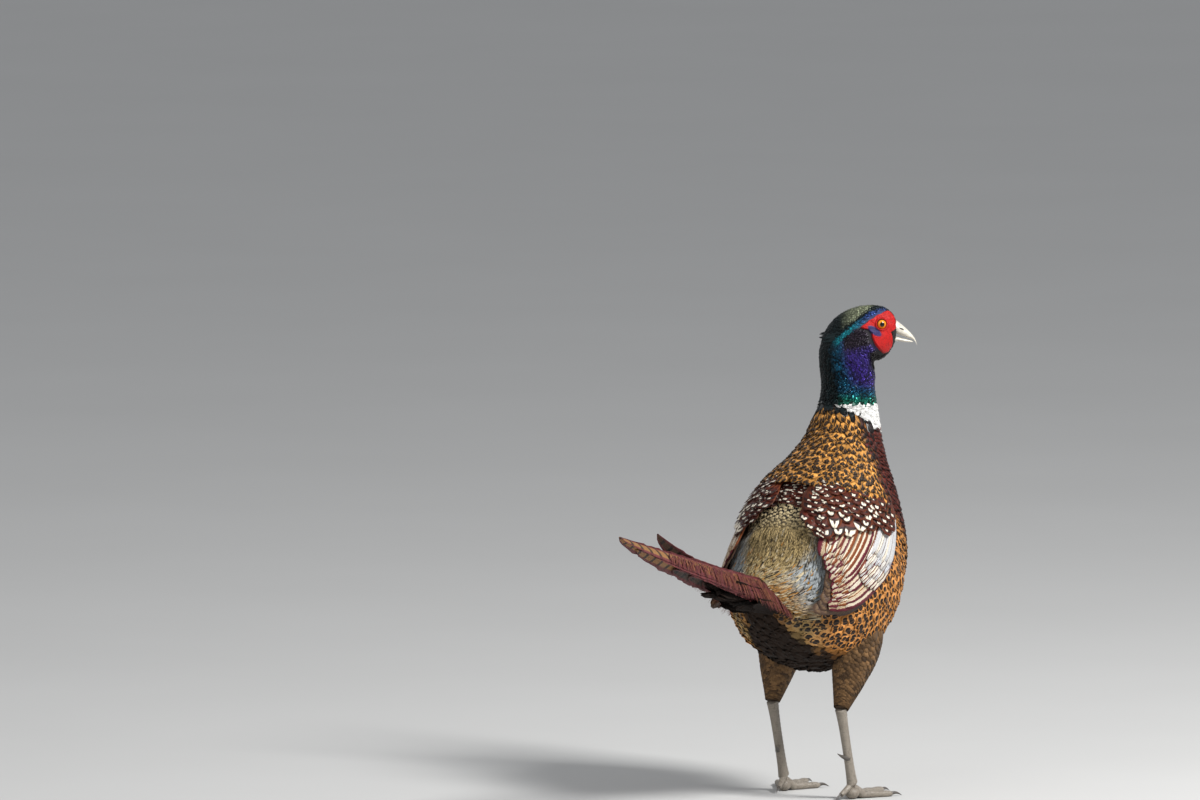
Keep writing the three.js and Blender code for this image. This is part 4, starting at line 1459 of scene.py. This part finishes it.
        # Long and hanging low, partly as painted shadow under the tail
        lengths = 178 - 20.0 * layers + rng.uniform(-16, 16, count)
        under = 10 + 4.0 * layers + rng.uniform(-1, 1, count)
        base = np.broadcast_to(np.array([*self.covert, 1]), (count, 4))
        turns = np.radians(rng.uniform(-2, 8, count))
        drop = -rng.uniform(0, 8, count)
        low = self.blades(sides, starts, lengths, np.full(count, 13.0), under, turns, drop, base, 0.35, 9, 12)
        finish = FeatherFinish("under_covert", rough=0.8, gloss=0.05)
        low.build("tail_under_coverts_and_shadow", finish.material(), (), "tail_feathers")


@dataclass
class Skin:
    """The one skin of trunk, neck and head, inside the coat."""

    rows: int = 170
    columns: int = 120
    dim: float = 0.55
    depth: Run = Run((0, 8, 12, 14, BODY.last), (COAT_DEPTH, COAT_DEPTH, 1.4, 0.9, 0.3))

    def build(self) -> None:
        """Builds the skin as a grid of u and v, drawn in by the coat's depth."""
        u = np.linspace(0, BODY.last, self.rows)[:, None]
        v = circle(self.columns)
        rings = capped(BODY.lifted(u, v, -self.depth(u, v)))
        colour = COAT.at(u, v)
        colour = np.concatenate([colour[:1], colour, colour[-1:]]) * np.array([*[self.dim] * 3, 1])
        atlas = grid(inset(np.linspace(0, 1, len(rings))[:, None]), inset(v / FULL_TURN))
        faces = sheet_faces(len(rings), self.columns, True)[:, ::-1]
        mesh = MeshData(rings, faces, {"OFBake": atlas}, {"base": colour.reshape(-1, 4)})
        replaced = ("torso", "rump", "neck_ring", "neck", "head")
        mesh.build("skin", SkinFinish().material(), replaced, "body_feathers")


class Coat:
    """All the tracts of small feathers, and the tests that say where each kind grows."""

    @staticmethod
    def over_wing(u: Array, v: Array) -> Array:
        """Whether a place of the body lies well under the folded wing."""
        low = np.interp(u, [1.6, 3.0, 4.4, 5.4], [84, 86, 80, 66])
        high = np.interp(u, [1.6, 2.4, 3.2, 4.2, 5.4], [74, 56, 40, 20, 30])
        return (degrees(v) > high + 7) & (degrees(v) < low - 5) & (u > 1.9) & (u < 5.2)

    @classmethod
    def belly(cls, u: Array, v: Array) -> Array:
        """Whether a place is on the belly."""
        return (degrees(v) > 120) & ~cls.over_wing(u, v)

    @classmethod
    def flank(cls, u: Array, v: Array) -> Array:
        """Whether a place is on a flank."""
        turn = degrees(v)
        return (turn > 64) & (turn <= 128) & ~cls.over_wing(u, v) & ((u > 2.2) | (turn > 96))

    @classmethod
    def back(cls, u: Array, v: Array) -> Array:
        """Whether a place is on the lower back."""
        return (degrees(v) <= 64) & ~cls.over_wing(u, v)

    @classmethod
    def rump(cls, u: Array, v: Array) -> Array:
        """Whether a place is on the rump, which is wider towards the tail."""
        return (degrees(v) <= np.interp(u, [1.8, 2.6], [98, 66])) & ~cls.over_wing(u, v)

    @staticmethod
    def mantle(u: Array, v: Array) -> Array:
        """Whether a place is on the mantle, between the wings and the ring."""
        turn = degrees(v)
        low = np.interp(turn, [12, 60], [5.1, 5.45])
        return (turn < 72) & (u < ring_line(turn) + 0.05) & (u > low)

    @staticmethod
    def breast(u: Array, v: Array) -> Array:
        """Whether a place is on the breast, below the ring."""
        return (degrees(v) >= 60) & (u > 5.25) & (u < ring_line(degrees(v)) + 0.05)

    @staticmethod
    def inner(u: Array, v: Array) -> Array:
        """Whether a place of the wing is in the band along its inner edge."""
        edge = np.interp(u, [3.3, 4.2, 5.1], [33, 13, 16])
        return (degrees(v) > edge) & (degrees(v) < edge + 13)

    @staticmethod
    def ring(u: Array, v: Array) -> Array:
        """Whether a place is on the white ring."""
        return u > ring_line(degrees(v)) - 0.03

    @staticmethod
    def feathered(u: Array, v: Array) -> Array:
        """Whether a place of the head has feathers, outside the bare red skin and the eye."""
        fore, up = head_place(u, v)
        outline = Wattle.radius(np.arctan2(up, fore))
        return (np.hypot(fore, up) > outline + 1.2) | (degrees(v) < 28) | (degrees(v) > 150)

    @staticmethod
    def hair_bars(u: Array, v: Array) -> Array:
        """How strong the bars are on the rump's hair: strongest up the middle of the back."""
        return np.interp(u, [2.2, 3.2], [0.2, 0.7]) * np.interp(degrees(v), [24, 36], [1, 0.12])

    def lower(self) -> list[Tract]:
        """The tracts of belly, flanks and back."""
        return [
            Tract(
                "belly_feathers", FeatherFinish("belly", rough=0.75, gloss=0.1), "body_feathers",
                (0.1, 5.6), (100, 260), 1100, constant(24), constant(15), self.belly, loose=0.2, seed=2,
            ),
            Tract(
                "flank_feathers", FeatherFinish("flank", Mark.SPOT, 0.5), "flank_feathers",
                (0.3, 5.5), (-130, 130), 1700, Run((2, 5.4), (27, 19)), Run((2, 5.4), (17, 13)),
                self.flank, Run((64, 130), (18, 4), True), (-2.6, 1.2), seed=3,
            ),
            Tract(
                "back_feathers", FeatherFinish("back", Mark.BARS, 0.6, beats=19), "rump_feathers",
                (2.8, 4.75), (-70, 70), 1150, Run((3, 4.8), (16, 15)), Run((3, 4.8), (10, 11)),
                self.back, contrast=Run((3.0, 3.9), (0.4, 1.0)), seed=4,
            ),
        ]

    def rump_plumes(self) -> list[Tract]:
        """The hair-like plumes of the rump, in an upper and a lower piece."""
        straw, amber, dark = (0.50, 0.41, 0.26), (0.42, 0.20, 0.04), (0.05, 0.035, 0.025)
        hair = FeatherFinish("rump_hair", Mark.BARS, 0.7, 0, 0.05, 60, ink=(0.07, 0.05, 0.025))
        droop = Run((0, 20, 50, 98), (0, 10, 54, 16), True)
        return [
            Tract(
                f"rump_plumes_{name}", hair, "rump_feathers", stations, (-98, 98), count,
                Run((0.5, 3.2), (27, 21)), constant(2.4), self.rump, droop, (-2.4, 1.9), self.hair_bars,
                strands=(straw, amber, straw, dark), mixed=Run((1.0, 2.2, 3.0), (0.6, 0.2, 0.08)), seed=seed,
            )
            for name, stations, count, seed in (
                ("upper", (1.9, 3.4), 3300, 5),
                ("lower", (0.2, 1.9), 3000, 25),
            )
        ]

    def shoulders(self) -> list[Tract]:
        """The tracts of mantle, saddle, inner scapulars and breast."""
        return [
            Tract(
                "mantle_feathers", FeatherFinish("mantle", Mark.WEDGE, 0.5, 0.05, vary=0.3), "body_feathers",
                (5.0, 9.25), (-74, 74), 1250, Run((5, 8.2), (24, 16)), Run((5, 8.2), (15, 9)), self.mantle,
                lift=(-2.3, 1.5), surface=MANTLE, contrast=Run((5.8, 7.4), (0.35, 1.0)), loose=0.07, seed=6,
            ),
            Tract(
                "saddle_feathers", FeatherFinish("saddle", Mark.CRESCENT, 0.5), "body_feathers",
                (4.35, 5.5), (-30, 30), 200, constant(18), constant(12), contrast=constant(0.75),
                colour=MAROON, lift=(-1.6, 2.2), seed=17,
            ),
            Tract(
                "inner_scapulars", FeatherFinish("inner_scapular", Mark.CRESCENT, 0.5, vary=0.25),
                "wing_feathers", (3.6, 5.4), (-44, 44), 300, constant(22), constant(15), self.inner,
                contrast=constant(0.85), colour=MAROON, lift=(-2.4, 2.0), surface=OUTER, seed=18,
            ),
            Tract(
                "breast_feathers", FeatherFinish("breast", Mark.SCALE, 0.38, 0.25), "body_feathers",
                (5.2, 8.6), (-180, 180), 2900, Run((5, 7.8), (18, 10)), Run((5, 7.8), (13, 8)),
                self.breast, lift=(-2.6, 0.8), surface=CHEST, seed=7,
            ),
        ]

    def upper(self) -> list[Tract]:
        """The tracts of ring, neck and head."""
        neck = FeatherFinish("neck_gloss", Mark.PLAIN, 0.25, 0.75, 0.0, 30, gloss=0.6, vary=0.8)
        head = FeatherFinish("head_gloss", Mark.PLAIN, 0.33, 0.6, 0.0, 24, gloss=0.5, vary=0.45)
        return [
            Tract(
                "ring_feathers", FeatherFinish("ring", Mark.PLAIN, 0.8, 0, 0.1, 40), "white_feathers",
                (7.9, 9.28), (-180, 180), 1700, constant(7.5), constant(5), self.ring,
                lift=(-2.2, 0.7), seed=8,
            ),
            Tract(
                "neck_feathers", neck, "neck_feathers", (9.24, 12.4), (-180, 180), 2900,
                constant(8), constant(5.2), lift=(-2.0, 0.3), seed=9,
            ),
            Tract(
                "head_feathers", head, "head_feathers", (12.1, 20.4), (-180, 180), 4200,
                Run((12, 20), (7, 2.8)), Run((12, 20), (4.2, 1.8)), self.feathered, lift=(-1.5, 0.1), seed=10,
            ),
        ]

    def build(self) -> None:
        """Builds every tract, from the tail to the head."""
        for tract in (*self.lower(), *self.rump_plumes(), *self.shoulders(), *self.upper()):
            tract.build()


@dataclass
class Wattle:
    """The bare red skin round one eye, from the lid to its outline."""

    name: str
    sign: int
    rings: int = 46
    columns: int = 150
    lid: float = 4.3
    sunk: float = -2.5
    patch_at: tuple[float, float] = (-6.3, -5.8)
    patch_size: tuple[float, float] = (7.2, 3.1)

    @staticmethod
    def radius(angle: Array) -> Array:
        """How far the red skin reaches from the eye in each direction."""
        outline = np.array([
            (7.4, 12), (12.6, 7), (14.4, 1), (14, -5), (9.5, -7.5), (11, -15), (10.6, -21.5), (7.2, -27.6),
            (3, -28.3), (-2, -23), (-6.8, -15), (-8.6, -7.6), (-12, -4), (-19.5, -2.4), (-14, 1.6), (-7, 5.6),
            (0, 9.4),
        ])
        turn = np.arctan2(outline[:, 1], outline[:, 0])
        order = np.argsort(turn)
        reach = np.hypot(outline[:, 0], outline[:, 1])[order]
        return np.interp(angle, turn[order], reach, period=FULL_TURN)

    def relief(self, angle: Array, t: Array, reach: Array) -> Array:
        """How high the skin stands: a lid bead, a lobe and folds that sink in at the outline.

        Args:
            angle: Directions from the eye.
            t: Shares of the way from the lid to the outline.
            reach: Distances from the eye.

        Returns:
            Heights over the body's surface.
        """
        rng = np.random.default_rng(6)
        noise = rng.normal(0, 0.05, (self.rings, self.columns))
        folds = 0.16 * np.sin(angle * 9 + 5 * t) * smooth(t, 0.1, 0.4) + noise
        lobe = 0.8 * smooth(np.hypot(reach * np.cos(angle) - 3, reach * np.sin(angle) + 17), 12, 3)
        bead = 1.7 * np.exp(-(((reach - 5.0) / 0.75) ** 2))
        height = (1.2 + lobe) * smooth(t, 1.0, 0.86) - 0.9 * smooth(t, 0.93, 1.0)
        return height + bead * smooth(t, 0.9, 0.3) + folds * smooth(t, 1, 0.8)

    def patch(self, fore: Array, rise: Array, reach: Array) -> Array:
        """Where the slanting patch of small blue feathers is, from 0 to 1.

        Args:
            fore: Distances ahead of the eye.
            rise: Heights over it.
            reach: Distances from it.

        Returns:
            One number for each vertex, with two more rings at both ends.
        """
        fore, rise = fore - self.patch_at[0], rise - self.patch_at[1]
        long, deep = 0.81 * fore - 0.58 * rise, 0.58 * fore + 0.81 * rise
        far = np.hypot(long / self.patch_size[0], deep / self.patch_size[1])
        share = smooth(far, 1.1, 0.9) * smooth(reach, 5.4, 6.0)
        return np.concatenate([share[:1], share[:1], share, share[-1:], share[-1:]]).ravel()

    def build(self) -> None:
        """Builds the skin as rings round the eye, closed behind it."""
        angle = np.linspace(-math.pi, math.pi, self.columns, endpoint=False)[None, :]
        t = np.linspace(0, 1, self.rings)[:, None]
        reach = self.lid + (self.radius(angle) - self.lid) * t
        fore, rise = reach * np.cos(angle), reach * np.sin(angle)
        u, v = head_uv(fore, rise)
        v = v * self.sign
        top = BODY.lifted(u, v, self.relief(angle, t, reach))
        ends = [BODY.lifted(u[k], v[k], np.full((1, self.columns), self.sunk)) for k in ([0], [-1])]
        pole = np.repeat(ends[1].mean(1, keepdims=True), self.columns, 1)
        rings = np.concatenate([pole, ends[0], top, ends[1], pole])
        share = np.concatenate([[0], np.linspace(0.1, 1, len(rings) - 1)])[:, None]
        faces = sheet_faces(len(rings), self.columns, True)[:, :: self.sign]
        maps = {"OFBake": disc(0.46 * share, angle)}
        mesh = MeshData(rings, faces, maps, {"patch": self.patch(fore, rise, reach)})
        mesh.build(f"face_skin_{self.name}", WattleFinish().material(), (f"wattle_{self.name}",), "wattle")


@dataclass
class Eye:
    """One eye, its pole facing out, with an amber iris and a black pupil."""

    name: str
    sign: int
    steps: int = 48
    forward: float = math.radians(12)

    def build(self) -> None:
        """Builds a sphere as rings from the pupil to the back of the eye."""
        polar = np.linspace(0, math.pi, self.steps)[:, None]
        angle = circle(self.steps)
        out = head_direction(math.sin(self.forward), -self.sign * math.cos(self.forward), 0.03)
        side = unit(np.cross(out, UP))
        ring = np.cos(angle)[..., None] * side + np.sin(angle)[..., None] * np.cross(side, out)
        bulge = EYE_RADIUS * (1 + 0.05 * smooth(polar, 0.7, 0.0))
        spokes = np.cos(polar)[..., None] * out + np.sin(polar)[..., None] * ring
        points = head_point(0, -self.sign * EYE_SIDE, 0) + bulge[..., None] * spokes
        maps = {
            "OFBake": disc(0.48 * polar / math.pi, angle),
            "Look": grid(polar / math.pi, angle / FULL_TURN),
        }
        mesh = MeshData(points, sheet_faces(self.steps, self.steps, True)[:, ::-1], maps)
        mesh.build(f"eyeball_{self.name}", EyeFinish().material(), (f"eye_{self.name}",), "eye")


@dataclass
class Bill:
    """The ivory bill, its two halves parted by a thin line.

    Upper and lower are rows of distance ahead of the eyes, top, bottom and half width.
    """

    upper: tuple[tuple, ...] = (
        (13.5, 3.2, -10.6, 6.6),
        (15.8, 1.8, -11.6, 6.3),
        (20.5, -2.0, -13.2, 5.3),
        (25, -6.0, -14.6, 4.2),
        (29.2, -10.4, -15.8, 3.1),
        (32.4, -15.0, -18, 1.9),
        (34.2, -20.4, -21.2, 0.5),
    )
    lower: tuple[tuple, ...] = (
        (13.5, -11.8, -17.4, 5.7),
        (15.8, -12.1, -17.0, 5.3),
        (21, -13.7, -17.8, 4.3),
        (26, -15.2, -18.1, 3.1),
        (30.4, -16.6, -18.1, 1.4),
    )
    slit: Colour = (0.02, 0.015, 0.012)

    @staticmethod
    def half(table: tuple[tuple, ...], way: int) -> MeshData:
        """One half of the bill, domed on its outer face and flatter on the other.

        Args:
            table: Rows of distance, top, bottom and half width.
            way: 1 for the upper half, -1 for the lower.

        Returns:
            The closed mesh.
        """
        at = catmull(np.array(table, float), np.linspace(0, len(table) - 1, 44))
        angle = circle(36)
        rise = np.sin(angle) * way
        flat = np.where(rise < 0, 0.75 * rise, rise)
        bow = np.abs(np.cos(angle)) ** np.where(rise > 0, 1.15, 0.6) * np.sign(np.cos(angle))
        middle, deep = (at[:, 1] + at[:, 2])[:, None] / 2, (at[:, 1] - at[:, 2])[:, None] / 2
        return tube(head_point(at[:, :1], bow * at[:, 3:4], middle + flat * deep * way))

    def build(self) -> None:
        """Builds both halves and the dark slits of the nostrils."""
        horn = HornFinish().material()
        self.half(self.upper, 1).build("bill_top", horn, ("bill_upper",), "bill")
        self.half(self.lower, -1).build("bill_bottom", horn, ("bill_lower",), "bill")
        t = np.linspace(0, 1, 12)
        size = np.sin(np.pi * np.clip(t, 0.06, 0.94)) ** 0.6
        slits = []
        for sign in (RIGHT, LEFT):
            places = head_point(17.0 + 5 * t, -sign * (5.7 - 1.1 * t), -4.0 - 2.4 * t)
            slits.append(limb(places, 0.35 * size, 0.8 * size, head_direction(0, 1, 0)))
        joined(slits).build("nostrils", Graph("nostril").finish(self.slit, 0.8), (), "bill")


@dataclass
class EarTufts:
    """The two short tufts behind the ears."""

    count: int = 16

    def build(self) -> None:
        """Builds slender feathers that rise from the back of the head."""
        rng = np.random.default_rng(31)
        t = np.linspace(0, 1, 9)
        size = (0.5 + 0.5 * smooth(t, 0, 0.3)) * (1 - 0.93 * t**2)
        parts = []
        for sign in (RIGHT, LEFT):
            for i in range(self.count):
                rise = -8 - 6 * i / self.count + rng.uniform(-1, 1)
                length = rng.uniform(13, 20)
                out = 15.5 + 3 * rng.uniform(0, 1)
                places = head_point(-36 - length * t, -sign * (out - 2 * t), rise - 4 * t + 1.5 * t**2)
                mesh = limb(places, 1.5 * size, 0.4 * size, UP, 8)
                count = len(mesh.points)
                tint = np.broadcast_to(np.array([*COAT.nape_dark_and_shade, 1]), (count, 4))
                mesh.values = {"base": tint, "tone": np.full(count, rng.uniform(0, 1))}
                mesh.maps["Vane"] = mesh.maps["OFBake"]
                parts.append(mesh)
        finish = FeatherFinish("tuft", rough=0.6, barbs=30)
        joined(parts).build("ear_tufts", finish.material(), (), "head_feathers")


@dataclass
class Leg:
    """One leg: feathered thigh, scaled shank, spur, toes and claws.

    Hock and foot are a forward place and a height. A toe is its turn outwards in degrees, its length, its
    radius at root and tip, and its claw's length.
    """

    name: str
    sign: int
    side: float = 41
    hock: tuple[float, float] = (-20, 82)
    foot: tuple[float, float] = (4, 12)
    stride: float = 11
    toes: tuple[tuple, ...] = ((4, 54, 4.4, 2.9, 12), (-30, 39, 4, 2.7, 10.5), (36, 41, 4, 2.7, 10))
    down: tuple[Colour, Colour] = ((0.05, 0.028, 0.014), (0.22, 0.12, 0.05))

    def place(self, forward: float, height: float, share: float = 1) -> Array:
        """A point in the leg's own plane, moved by a share of the stride."""
        return np.array([forward - self.sign * self.stride * share, -self.sign * self.side, height])

    def shank(self) -> MeshData:
        """The shank, its front scutes as raised steps."""
        columns, scutes = 28, 17
        top = self.place(self.hock[0] + 0.6, self.hock[1] + 3.4)
        bottom = self.place(self.foot[0] - 0.5, self.foot[1] + 2)
        t = np.linspace(0, 1, 150)
        swell = 1 + 0.35 * (1 - t) ** 6 + 0.25 * t**8
        rise = np.sin(circle(columns))
        beat = (t * scutes) % 1
        scute = 0.10 * smooth(beat, 0, 0.12) * smooth(beat, 1.0, 0.72)
        ridge = 1 + scute[:, None] * smooth(rise, -0.1, 0.4) + 0.03 * smooth(rise, -0.2, -0.8)
        places = top + (bottom - top) * t[:, None]
        return limb(places, 3.7 * swell, 4.6 * swell, SIDE, columns, ridge)

    def toe(self, turn: float, length: float, root: float, tip: float) -> tuple[MeshData, Array, Array]:
        """One toe: pads below and scutes above.

        Args:
            turn: Its turn outwards, in degrees.
            length: Its length.
            root: Its radius at the root.
            tip: Its radius at the tip.

        Returns:
            The mesh, the toe's end point and its direction.
        """
        columns, pitch = 24, 4.2
        heading = math.radians(-self.sign * turn)
        forward = np.array([math.cos(heading), math.sin(heading), 0])
        t = np.linspace(0, 1, 90)
        radius = root + (tip - root) * t
        joint = 1 - 0.07 * np.cos(t * 6 * math.pi)
        height = np.maximum(radius - 0.35, (self.foot[1] - 1.5) * (1 - np.minimum(1, t * 2.6)))
        places = self.place(*self.foot) * LEVEL + length * t[:, None] * forward + height[:, None] * UP
        beat = (t * length / pitch) % 1
        scute = (0.08 * smooth(beat, 0, 0.15) * smooth(beat, 1, 0.7))[:, None]
        swell = 1 + scute * smooth(np.sin(circle(columns)), 0, 0.5)
        taper = joint * np.where(t > 0.95, 1 - (t - 0.95) * 6, 1)
        side = np.array([-forward[1], forward[0], 0])
        mesh = limb(places, radius * taper, radius * taper * 0.95, side, columns, swell)
        return mesh.grounded(), places[-1], forward

    @staticmethod
    def claw(start: Array, forward: Array, length: float, girth: float) -> MeshData:
        """A curved claw that ends just over the floor.

        Args:
            start: Where it leaves the toe.
            forward: The direction it points in.
            length: Its length.
            girth: Its half depth at the root.

        Returns:
            The closed mesh.
        """
        t = np.linspace(0, 1, 24)
        height = start[2] * (1 - t**1.5) + 0.45 * t + 1.2 * np.sin(t * math.pi)
        places = start * LEVEL + (length * t - 1.5)[:, None] * forward + height[:, None] * UP
        size = girth * (1 - 0.9 * t**1.2)
        return limb(places, size * 0.75, size, np.array([-forward[1], forward[0], 0])).grounded()

    def spur(self) -> MeshData:
        """The spur at the back of the shank."""
        t = np.linspace(0, 1, 30)[:, None]
        sweep = (t - 0.25) * np.array([-12.9, self.sign * 5, 2.0])
        size = 3.0 * (1 - 0.93 * t[:, 0]) + 0.1
        return limb(self.place(-9, 39) + sweep + 3.4 * UP * t**2, size * 0.85, size, SIDE, 18)

    def build(self) -> None:
        """Builds the leg's pieces."""
        scales = ScaleFinish().material()
        horn = MottledFinish("claw_horn", (0.035, 0.03, 0.026), (0.11, 0.095, 0.08), 300.0, 0.35).material()
        self.shank().build(f"shank_scales_{self.name}", scales, (f"shank_{self.name}",), "leg_scales")
        toes, claws = [], []
        for turn, length, root, tip, claw in self.toes:
            mesh, end, forward = self.toe(turn, length, root, tip)
            toes.append(mesh)
            claws.append(self.claw(end, forward, claw + 1.5, 1.95))
        under = self.place(*self.foot) * LEVEL
        t = np.linspace(0, 1, 24)
        girth = np.sqrt(np.clip(1 - (2 * t - 1) ** 2, 0.02, 1))
        pad = limb(under + grid(-7 + 14 * t, 0, 5.4), 6.6 * girth, 5.7 * girth, SIDE, 20).grounded()
        back = np.array([-1, self.sign * 0.2, 0.0])
        path = under + (17 * t - 1)[:, None] * back + (14.5 - 9.6 * t)[:, None] * UP
        hind = limb(path, 3.2 - 0.9 * t, 3.2 - 0.9 * t, SIDE, 20)
        claws.append(self.claw(path[-1], unit(back), 9.5, 1.6))
        joined([*toes, pad, hind]).build(f"toes_{self.name}", scales, (f"foot_{self.name}",), "leg_scales")
        names = tuple(f"claw_{self.name}_{toe}" for toe in ("middle", "inner", "outer", "hind"))
        joined(claws).build(f"claws_{self.name}", horn, names, "claw_horn")
        self.spur().build(f"spur_horn_{self.name}", horn, (f"spur_{self.name}",), "claw_horn")
        self.thigh()

    def thigh(self) -> None:
        """The feathered thigh: a core and short feathers that point down it."""
        shape = (
            ((8, 176), 0.3, 24, 36),
            ((4, 140), 0.5, 21, 30),
            ((-6, 114), 0.7, 15, 19),
            ((-14, 96), 0.9, 9.5, 11),
            ((-19, 86), 1, 6.2, 7),
        )
        knots = np.array([[*self.place(*at, share), wide, deep] for at, share, wide, deep in shape])
        row = catmull(knots, np.linspace(0, 4, 60))
        core = limb(row[:, :3], row[:, 3] - 1.6, row[:, 4] - 1.6, SIDE, 40)
        skin = MottledFinish("thigh_skin", (0.03, 0.018, 0.01), (0.09, 0.05, 0.025), 300.0, 0.8).material()
        core.build(f"thigh_core_{self.name}", skin, (f"thigh_{self.name}",), "flank_feathers")
        coat = self.thigh_coat(knots)
        finish = FeatherFinish("thigh", rough=0.7)
        coat.build(f"thigh_feathers_{self.name}", finish.material(), (), "flank_feathers")

    def thigh_coat(self, knots: Array) -> MeshData:
        """Lays the thigh's feathers round its core.

        Args:
            knots: Rows of a point of the core's middle, a half width and a half depth.

        Returns:
            The closed feathers as one mesh.
        """
        count, thick = 900, 0.28
        last = len(knots) - 1.0
        rng = np.random.default_rng(40 + self.sign)
        n = np.arange(count)
        place = (n * SPREAD[0]) % 1 * 3.75 + 0.25
        angle = (n * SPREAD[1]) % 1 * FULL_TURN
        s, x = np.linspace(0, 1, 5), np.linspace(-1, 1, 3)
        length = np.interp(place, [0, 4], [20, 9])
        pace = np.interp(place, [0, 1, 2, 3, 4], [38, 32, 24, 16, 12])
        at = np.minimum(place[:, None] + (length / pace)[:, None] * s, last)
        here = catmull(knots, at)
        along = unit(catmull(knots, at + 0.01)[..., :3] - catmull(knots, at - 0.01)[..., :3] + 1e-9)
        across = unit(SIDE - along * along[..., 1:2])
        up = np.cross(along, across)[:, :, None]
        width = np.interp(place, [0, 4], [12, 6])
        outline = (0.5 + 0.5 * smooth(s, 0, 0.4)) * np.sqrt(1 - 0.86 * s**3)
        girth = np.maximum((here[..., 3] + here[..., 4]) / 2, 4)
        theta = angle[:, None, None] + (width[:, None] / 2 * outline / girth)[..., None] * x
        lift = (-1.6 + 2.2 * s)[None, :, None]
        cos, sin, across = np.cos(theta), np.sin(theta), across[:, :, None]
        out = cos[..., None] * across + sin[..., None] * up
        points = here[:, :, None, :3] + (cos * (here[..., 3:4] + lift))[..., None] * across
        points = points + (sin * (here[..., 4:5] + lift))[..., None] * up
        tint = blend(np.array(self.down[:1]), self.down[1], rng.uniform(0, 1, count))
        extra = {"base": opaque(tint), "tone": rng.uniform(0, 1, count)}
        bake = np.stack([0.03 + 0.94 * place / 4, 0.03 + 0.94 * angle / FULL_TURN], -1)
        return vane_mesh(points, unit(out), x, s, thick, bake, extra)


@dataclass
class Studio:
    """A plain pale floor, soft light, and the camera at the photograph's angle.

    Origin is the pixel of the frame where the bird's own origin is seen.
    """

    azimuth: float = math.radians(-62)
    elevation: float = math.radians(6)
    distance: float = 14.0
    pixel: float = 0.92
    origin: tuple[float, float] = (816, 795)
    frame: tuple[float, float] = (1200, 800)
    sensor: float = 36
    sky: Colour = (0.92, 0.95, 1.0)
    sky_power: float = 0.45

    def build(self) -> None:
        """Builds the floor, the lights and the camera."""
        self.floor()
        self.lights()
        self.camera()

    @staticmethod
    def bearing(turn: float, tilt: float) -> Vector:
        """The direction from the bird to what stands at a turn and a tilt from it."""
        flat = math.cos(tilt)
        return Vector((math.sin(turn) * flat, -math.cos(turn) * flat, math.sin(tilt)))

    @staticmethod
    def floor() -> None:
        """A wide floor, just under the feet."""
        wide, low, steps = 40000, -0.2, 9
        edge = np.linspace(-wide, wide, steps)
        mesh = MeshData(grid(edge[:, None], edge[None, :], low), sheet_faces(steps, steps, False))
        finish = MottledFinish("floor", (0.52, 0.515, 0.50), (0.55, 0.545, 0.53), 3.0, 0.85)
        mesh.build("floor", finish.material())

    def lights(self) -> None:
        """A sky of soft light, a large key light on the bird's right and a low fill."""
        chest, far = 250, 3.2
        world = bpy.data.worlds.new("studio")
        world.use_nodes = True
        sky = world.node_tree.nodes["Background"].inputs
        sky[0].default_value = (*self.sky, 1)
        sky[1].default_value = self.sky_power
        bpy.context.scene.world = world
        bpy.context.scene.view_settings.view_transform = "Standard"
        middle = Vector(tuple((Placement.shift + chest * UP) * MM))
        for name, turn, tilt, power, size in (("key", -6, 42, 150, 0.9), ("fill", -100, 25, 20, 2.0)):
            data = bpy.data.lights.new(name, "AREA")
            data.energy, data.size = power, size
            light = bpy.data.objects.new(name, data)
            back = self.bearing(math.radians(turn), math.radians(tilt))
            light.location = middle + back * far
            light.rotation_euler = (-back).to_track_quat("-Z", "Y").to_euler()
            bpy.context.collection.objects.link(light)

    def camera(self) -> None:
        """The camera: far off and long, so that one pixel spans one size all over the bird."""
        right = Vector((math.cos(self.azimuth), math.sin(self.azimuth), 0))
        back = self.bearing(self.azimuth, self.elevation)
        across = (self.frame[0] / 2 - self.origin[0]) * self.pixel * MM
        above = (self.origin[1] - self.frame[1] / 2) * self.pixel * MM
        data = bpy.data.cameras.new("camera")
        data.sensor_fit = "HORIZONTAL"
        data.sensor_width = self.sensor
        data.lens = self.sensor * self.distance / (self.frame[0] * self.pixel * MM)
        data.clip_end = 200
        camera = bpy.data.objects.new("camera", data)
        ground = Vector(tuple(Placement.shift * MM))
        camera.location = ground + right * across + back.cross(right) * above + back * self.distance
        camera.rotation_euler = back.to_track_quat("Z", "Y").to_euler()
        bpy.context.collection.objects.link(camera)
        bpy.context.scene.camera = camera


def main() -> None:
    """Loads the frame, builds the bird on it and sets up the studio."""
    logging.basicConfig(level=logging.INFO)
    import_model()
    Placement.find()
    Skin().build()
    Coat().build()
    Tail().build()
    for name, sign in (("right", RIGHT), ("left", LEFT)):
        Wing(name, sign).build()
        Wattle(name, sign).build()
        Eye(name, sign).build()
        Leg(name, sign).build()
    Bill().build()
    EarTufts().build()
    Studio().build()


if __name__ == "__main__":
    main()
